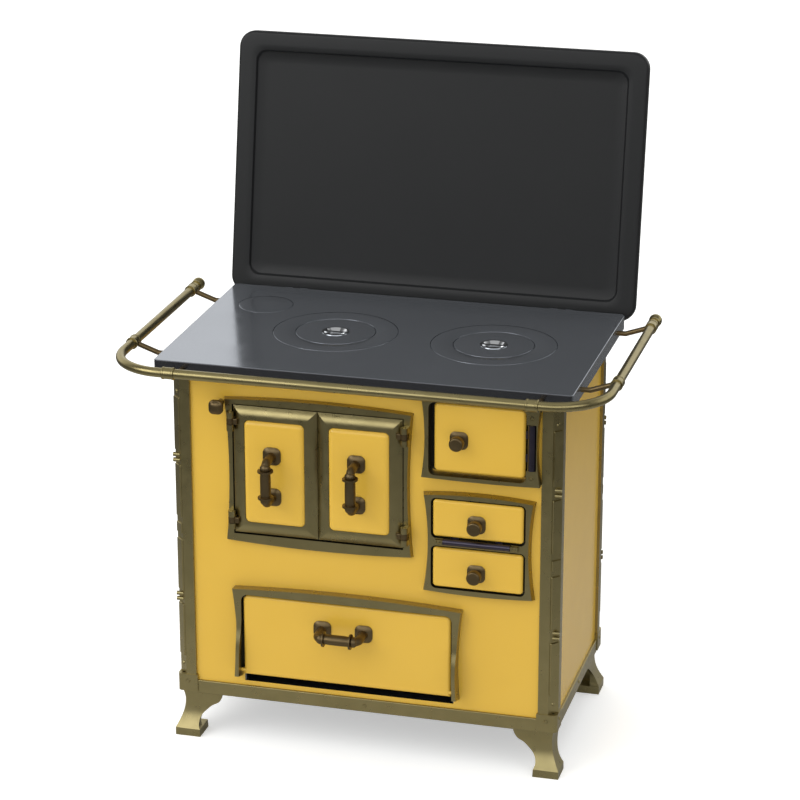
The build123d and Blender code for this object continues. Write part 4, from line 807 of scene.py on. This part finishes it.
def studio_floor():
    """Matt paper that glows a little where it is seen or mirrored, and in a mirror gives way to the dim room
    with its distance from the stove."""
    material, tree, place = new_material("studio_paper")
    mirrored = mirrored_ray(tree)
    camera_ray = add_node(tree, "ShaderNodeLightPath", output="Is Camera Ray")
    seen = add_node(tree, "ShaderNodeMath", {0: camera_ray, 1: mirrored}, operation="MAXIMUM")
    level = add_node(tree, "ShaderNodeMapRange", {
        "Value": mirrored, "To Min": glow_seen, "To Max": glow_mirrored})
    glow = add_node(tree, "ShaderNodeMath", {0: seen, 1: level}, operation="MULTIPLY")
    lit_paper = add_node(tree, "ShaderNodeAddShader", {
        0: add_node(tree, "ShaderNodeBsdfDiffuse", {"Color": linear("#F2F2F0")}),
        1: add_node(tree, "ShaderNodeEmission", {"Color": (1, 1, 1, 1), "Strength": glow})})
    distance = add_node(tree, "ShaderNodeVectorMath", {0: place}, "Value", operation="LENGTH")
    beyond = add_node(tree, "ShaderNodeMapRange", {
        "Value": distance, "From Max": fade_reach, "To Min": fade_near, "To Max": fade_far})
    fade = add_node(tree, "ShaderNodeMath", {0: beyond, 1: mirrored}, operation="MULTIPLY")
    dim_room = add_node(tree, "ShaderNodeEmission", {"Color": (1, 1, 1, 1), "Strength": 0.03})
    shown = add_node(tree, "ShaderNodeMixShader", {0: fade, 1: lit_paper, 2: dim_room})
    add_node(tree, "ShaderNodeOutputMaterial", {"Surface": shown})
    return material


far = 30
floor_points = [(-far, -far, 0), (far, -far, 0), (far, far, 0), (-far, far, 0)]
floor_mesh = bpy.data.meshes.new("studio_floor")
floor_mesh.from_pydata(floor_points, [], [(0, 1, 2, 3)])
floor_mesh.materials.append(studio_floor())
floor = bpy.data.objects.new("studio_floor", floor_mesh)
bpy.context.scene.collection.objects.link(floor)
print("paper", 2 * far, "m wide")

# %% The room's tree
world = bpy.data.worlds.new("studio")
bpy.context.scene.world = world
world.use_nodes = True
room = world.node_tree
room.nodes.clear()


def swell(axis, start, end, low, high):
    """A smooth step from low to high along one axis of the direction."""
    direction = add_node(room, "ShaderNodeTexCoord", output="Generated")
    along = add_node(room, "ShaderNodeSeparateXYZ", {"Vector": direction}, axis)
    return add_node(room, "ShaderNodeMapRange", {
        "Value": along, "From Min": start, "From Max": end, "To Min": low, "To Max": high},
        interpolation_type="SMOOTHSTEP")


def product(*levels):
    """Several levels multiplied: each dims what the others leave."""
    whole = levels[0]
    for level in levels[1:]:
        whole = add_node(room, "ShaderNodeMath", {0: whole, 1: level}, operation="MULTIPLY")
    return whole


# %% What a mirror sees, what lights matt things, and what the camera sees
window_light, room_light = 1.45, 0.14
back_wall = product(swell("Y", -0.1, 0.4, 0.0, 0.86), swell("Z", 0.45, 0.8, 1.0, 0.2))
front_window = product(swell("Z", 0.06, 0.22, 0.0, 1.0), swell("Z", 0.45, 0.68, 1.0, 0.0),
                       swell("Y", -0.5, -0.2, 1.0, 0.0), window_light)
brightest = add_node(room, "ShaderNodeMath", {0: back_wall, 1: front_window}, operation="MAXIMUM")
mirrored_room = add_node(room, "ShaderNodeMath", {0: brightest, 1: room_light}, operation="ADD")
sky_light = product(swell("Z", -0.2, 1.0, 0.58, 1.28), swell("X", -0.1, 0.8, 1.06, 0.45))
camera_ray = add_node(room, "ShaderNodeLightPath", output="Is Camera Ray")
plain = add_node(room, "ShaderNodeMix", {"Factor": camera_ray, "A": sky_light, "B": 1.0})
level = add_node(room, "ShaderNodeMix", {"Factor": mirrored_ray(room), "A": plain, "B": mirrored_room})
background = add_node(room, "ShaderNodeBackground", {"Color": (1, 1, 1, 1), "Strength": level})
add_node(room, "ShaderNodeOutputWorld", {"Surface": background})
print("the room has", len(room.nodes), "nodes")


# %% Two softboxes: one overhead, one in front at the left
def softbox(name, place, width, height, watts):
    """A rectangular lamp that faces the middle of the stove."""
    lamp = bpy.data.lights.new(name, "AREA")
    lamp.shape = "RECTANGLE"
    lamp.size = width
    lamp.size_y = height
    lamp.energy = watts
    holder = bpy.data.objects.new(name, lamp)
    holder.location = place
    holder.rotation_euler = (stove_middle - Vector(place)).to_track_quat("-Z", "Y").to_euler()
    bpy.context.scene.collection.objects.link(holder)


stove_middle = Vector((0, 0, 0.6))
softbox("overhead_softbox", (0, -0.9, 4.2), width=4.0, height=3.4, watts=14)
softbox("front_softbox", (-3.0, -3.6, 3.4), width=3.0, height=2.6, watts=50)
print(len(bpy.data.lights), "softboxes")

# %% [markdown]
# ## The camera
# The photograph was taken from the right and a little above.  The place, direction and lens were
# solved from the corners of the hob, the posts and the doors, so the render lies over the photograph.

# %% The camera
camera_data = bpy.data.cameras.new("photograph")
camera_data.sensor_width = 36.0
camera_data.lens = 132.04
camera_data.clip_end = 100
camera = bpy.data.objects.new("photograph", camera_data)
looks_down, turned_left = radians(19.499), radians(14.958)
camera.location = (1.52642, hob_middle_y - 5.66840, 2.79649)
camera.rotation_euler = (radians(90) - looks_down, 0, turned_left)
bpy.context.scene.collection.objects.link(camera)
bpy.context.scene.camera = camera
bpy.context.scene.view_settings.view_transform = "Standard"
print("camera", round(camera.location.length, 2), "m away")
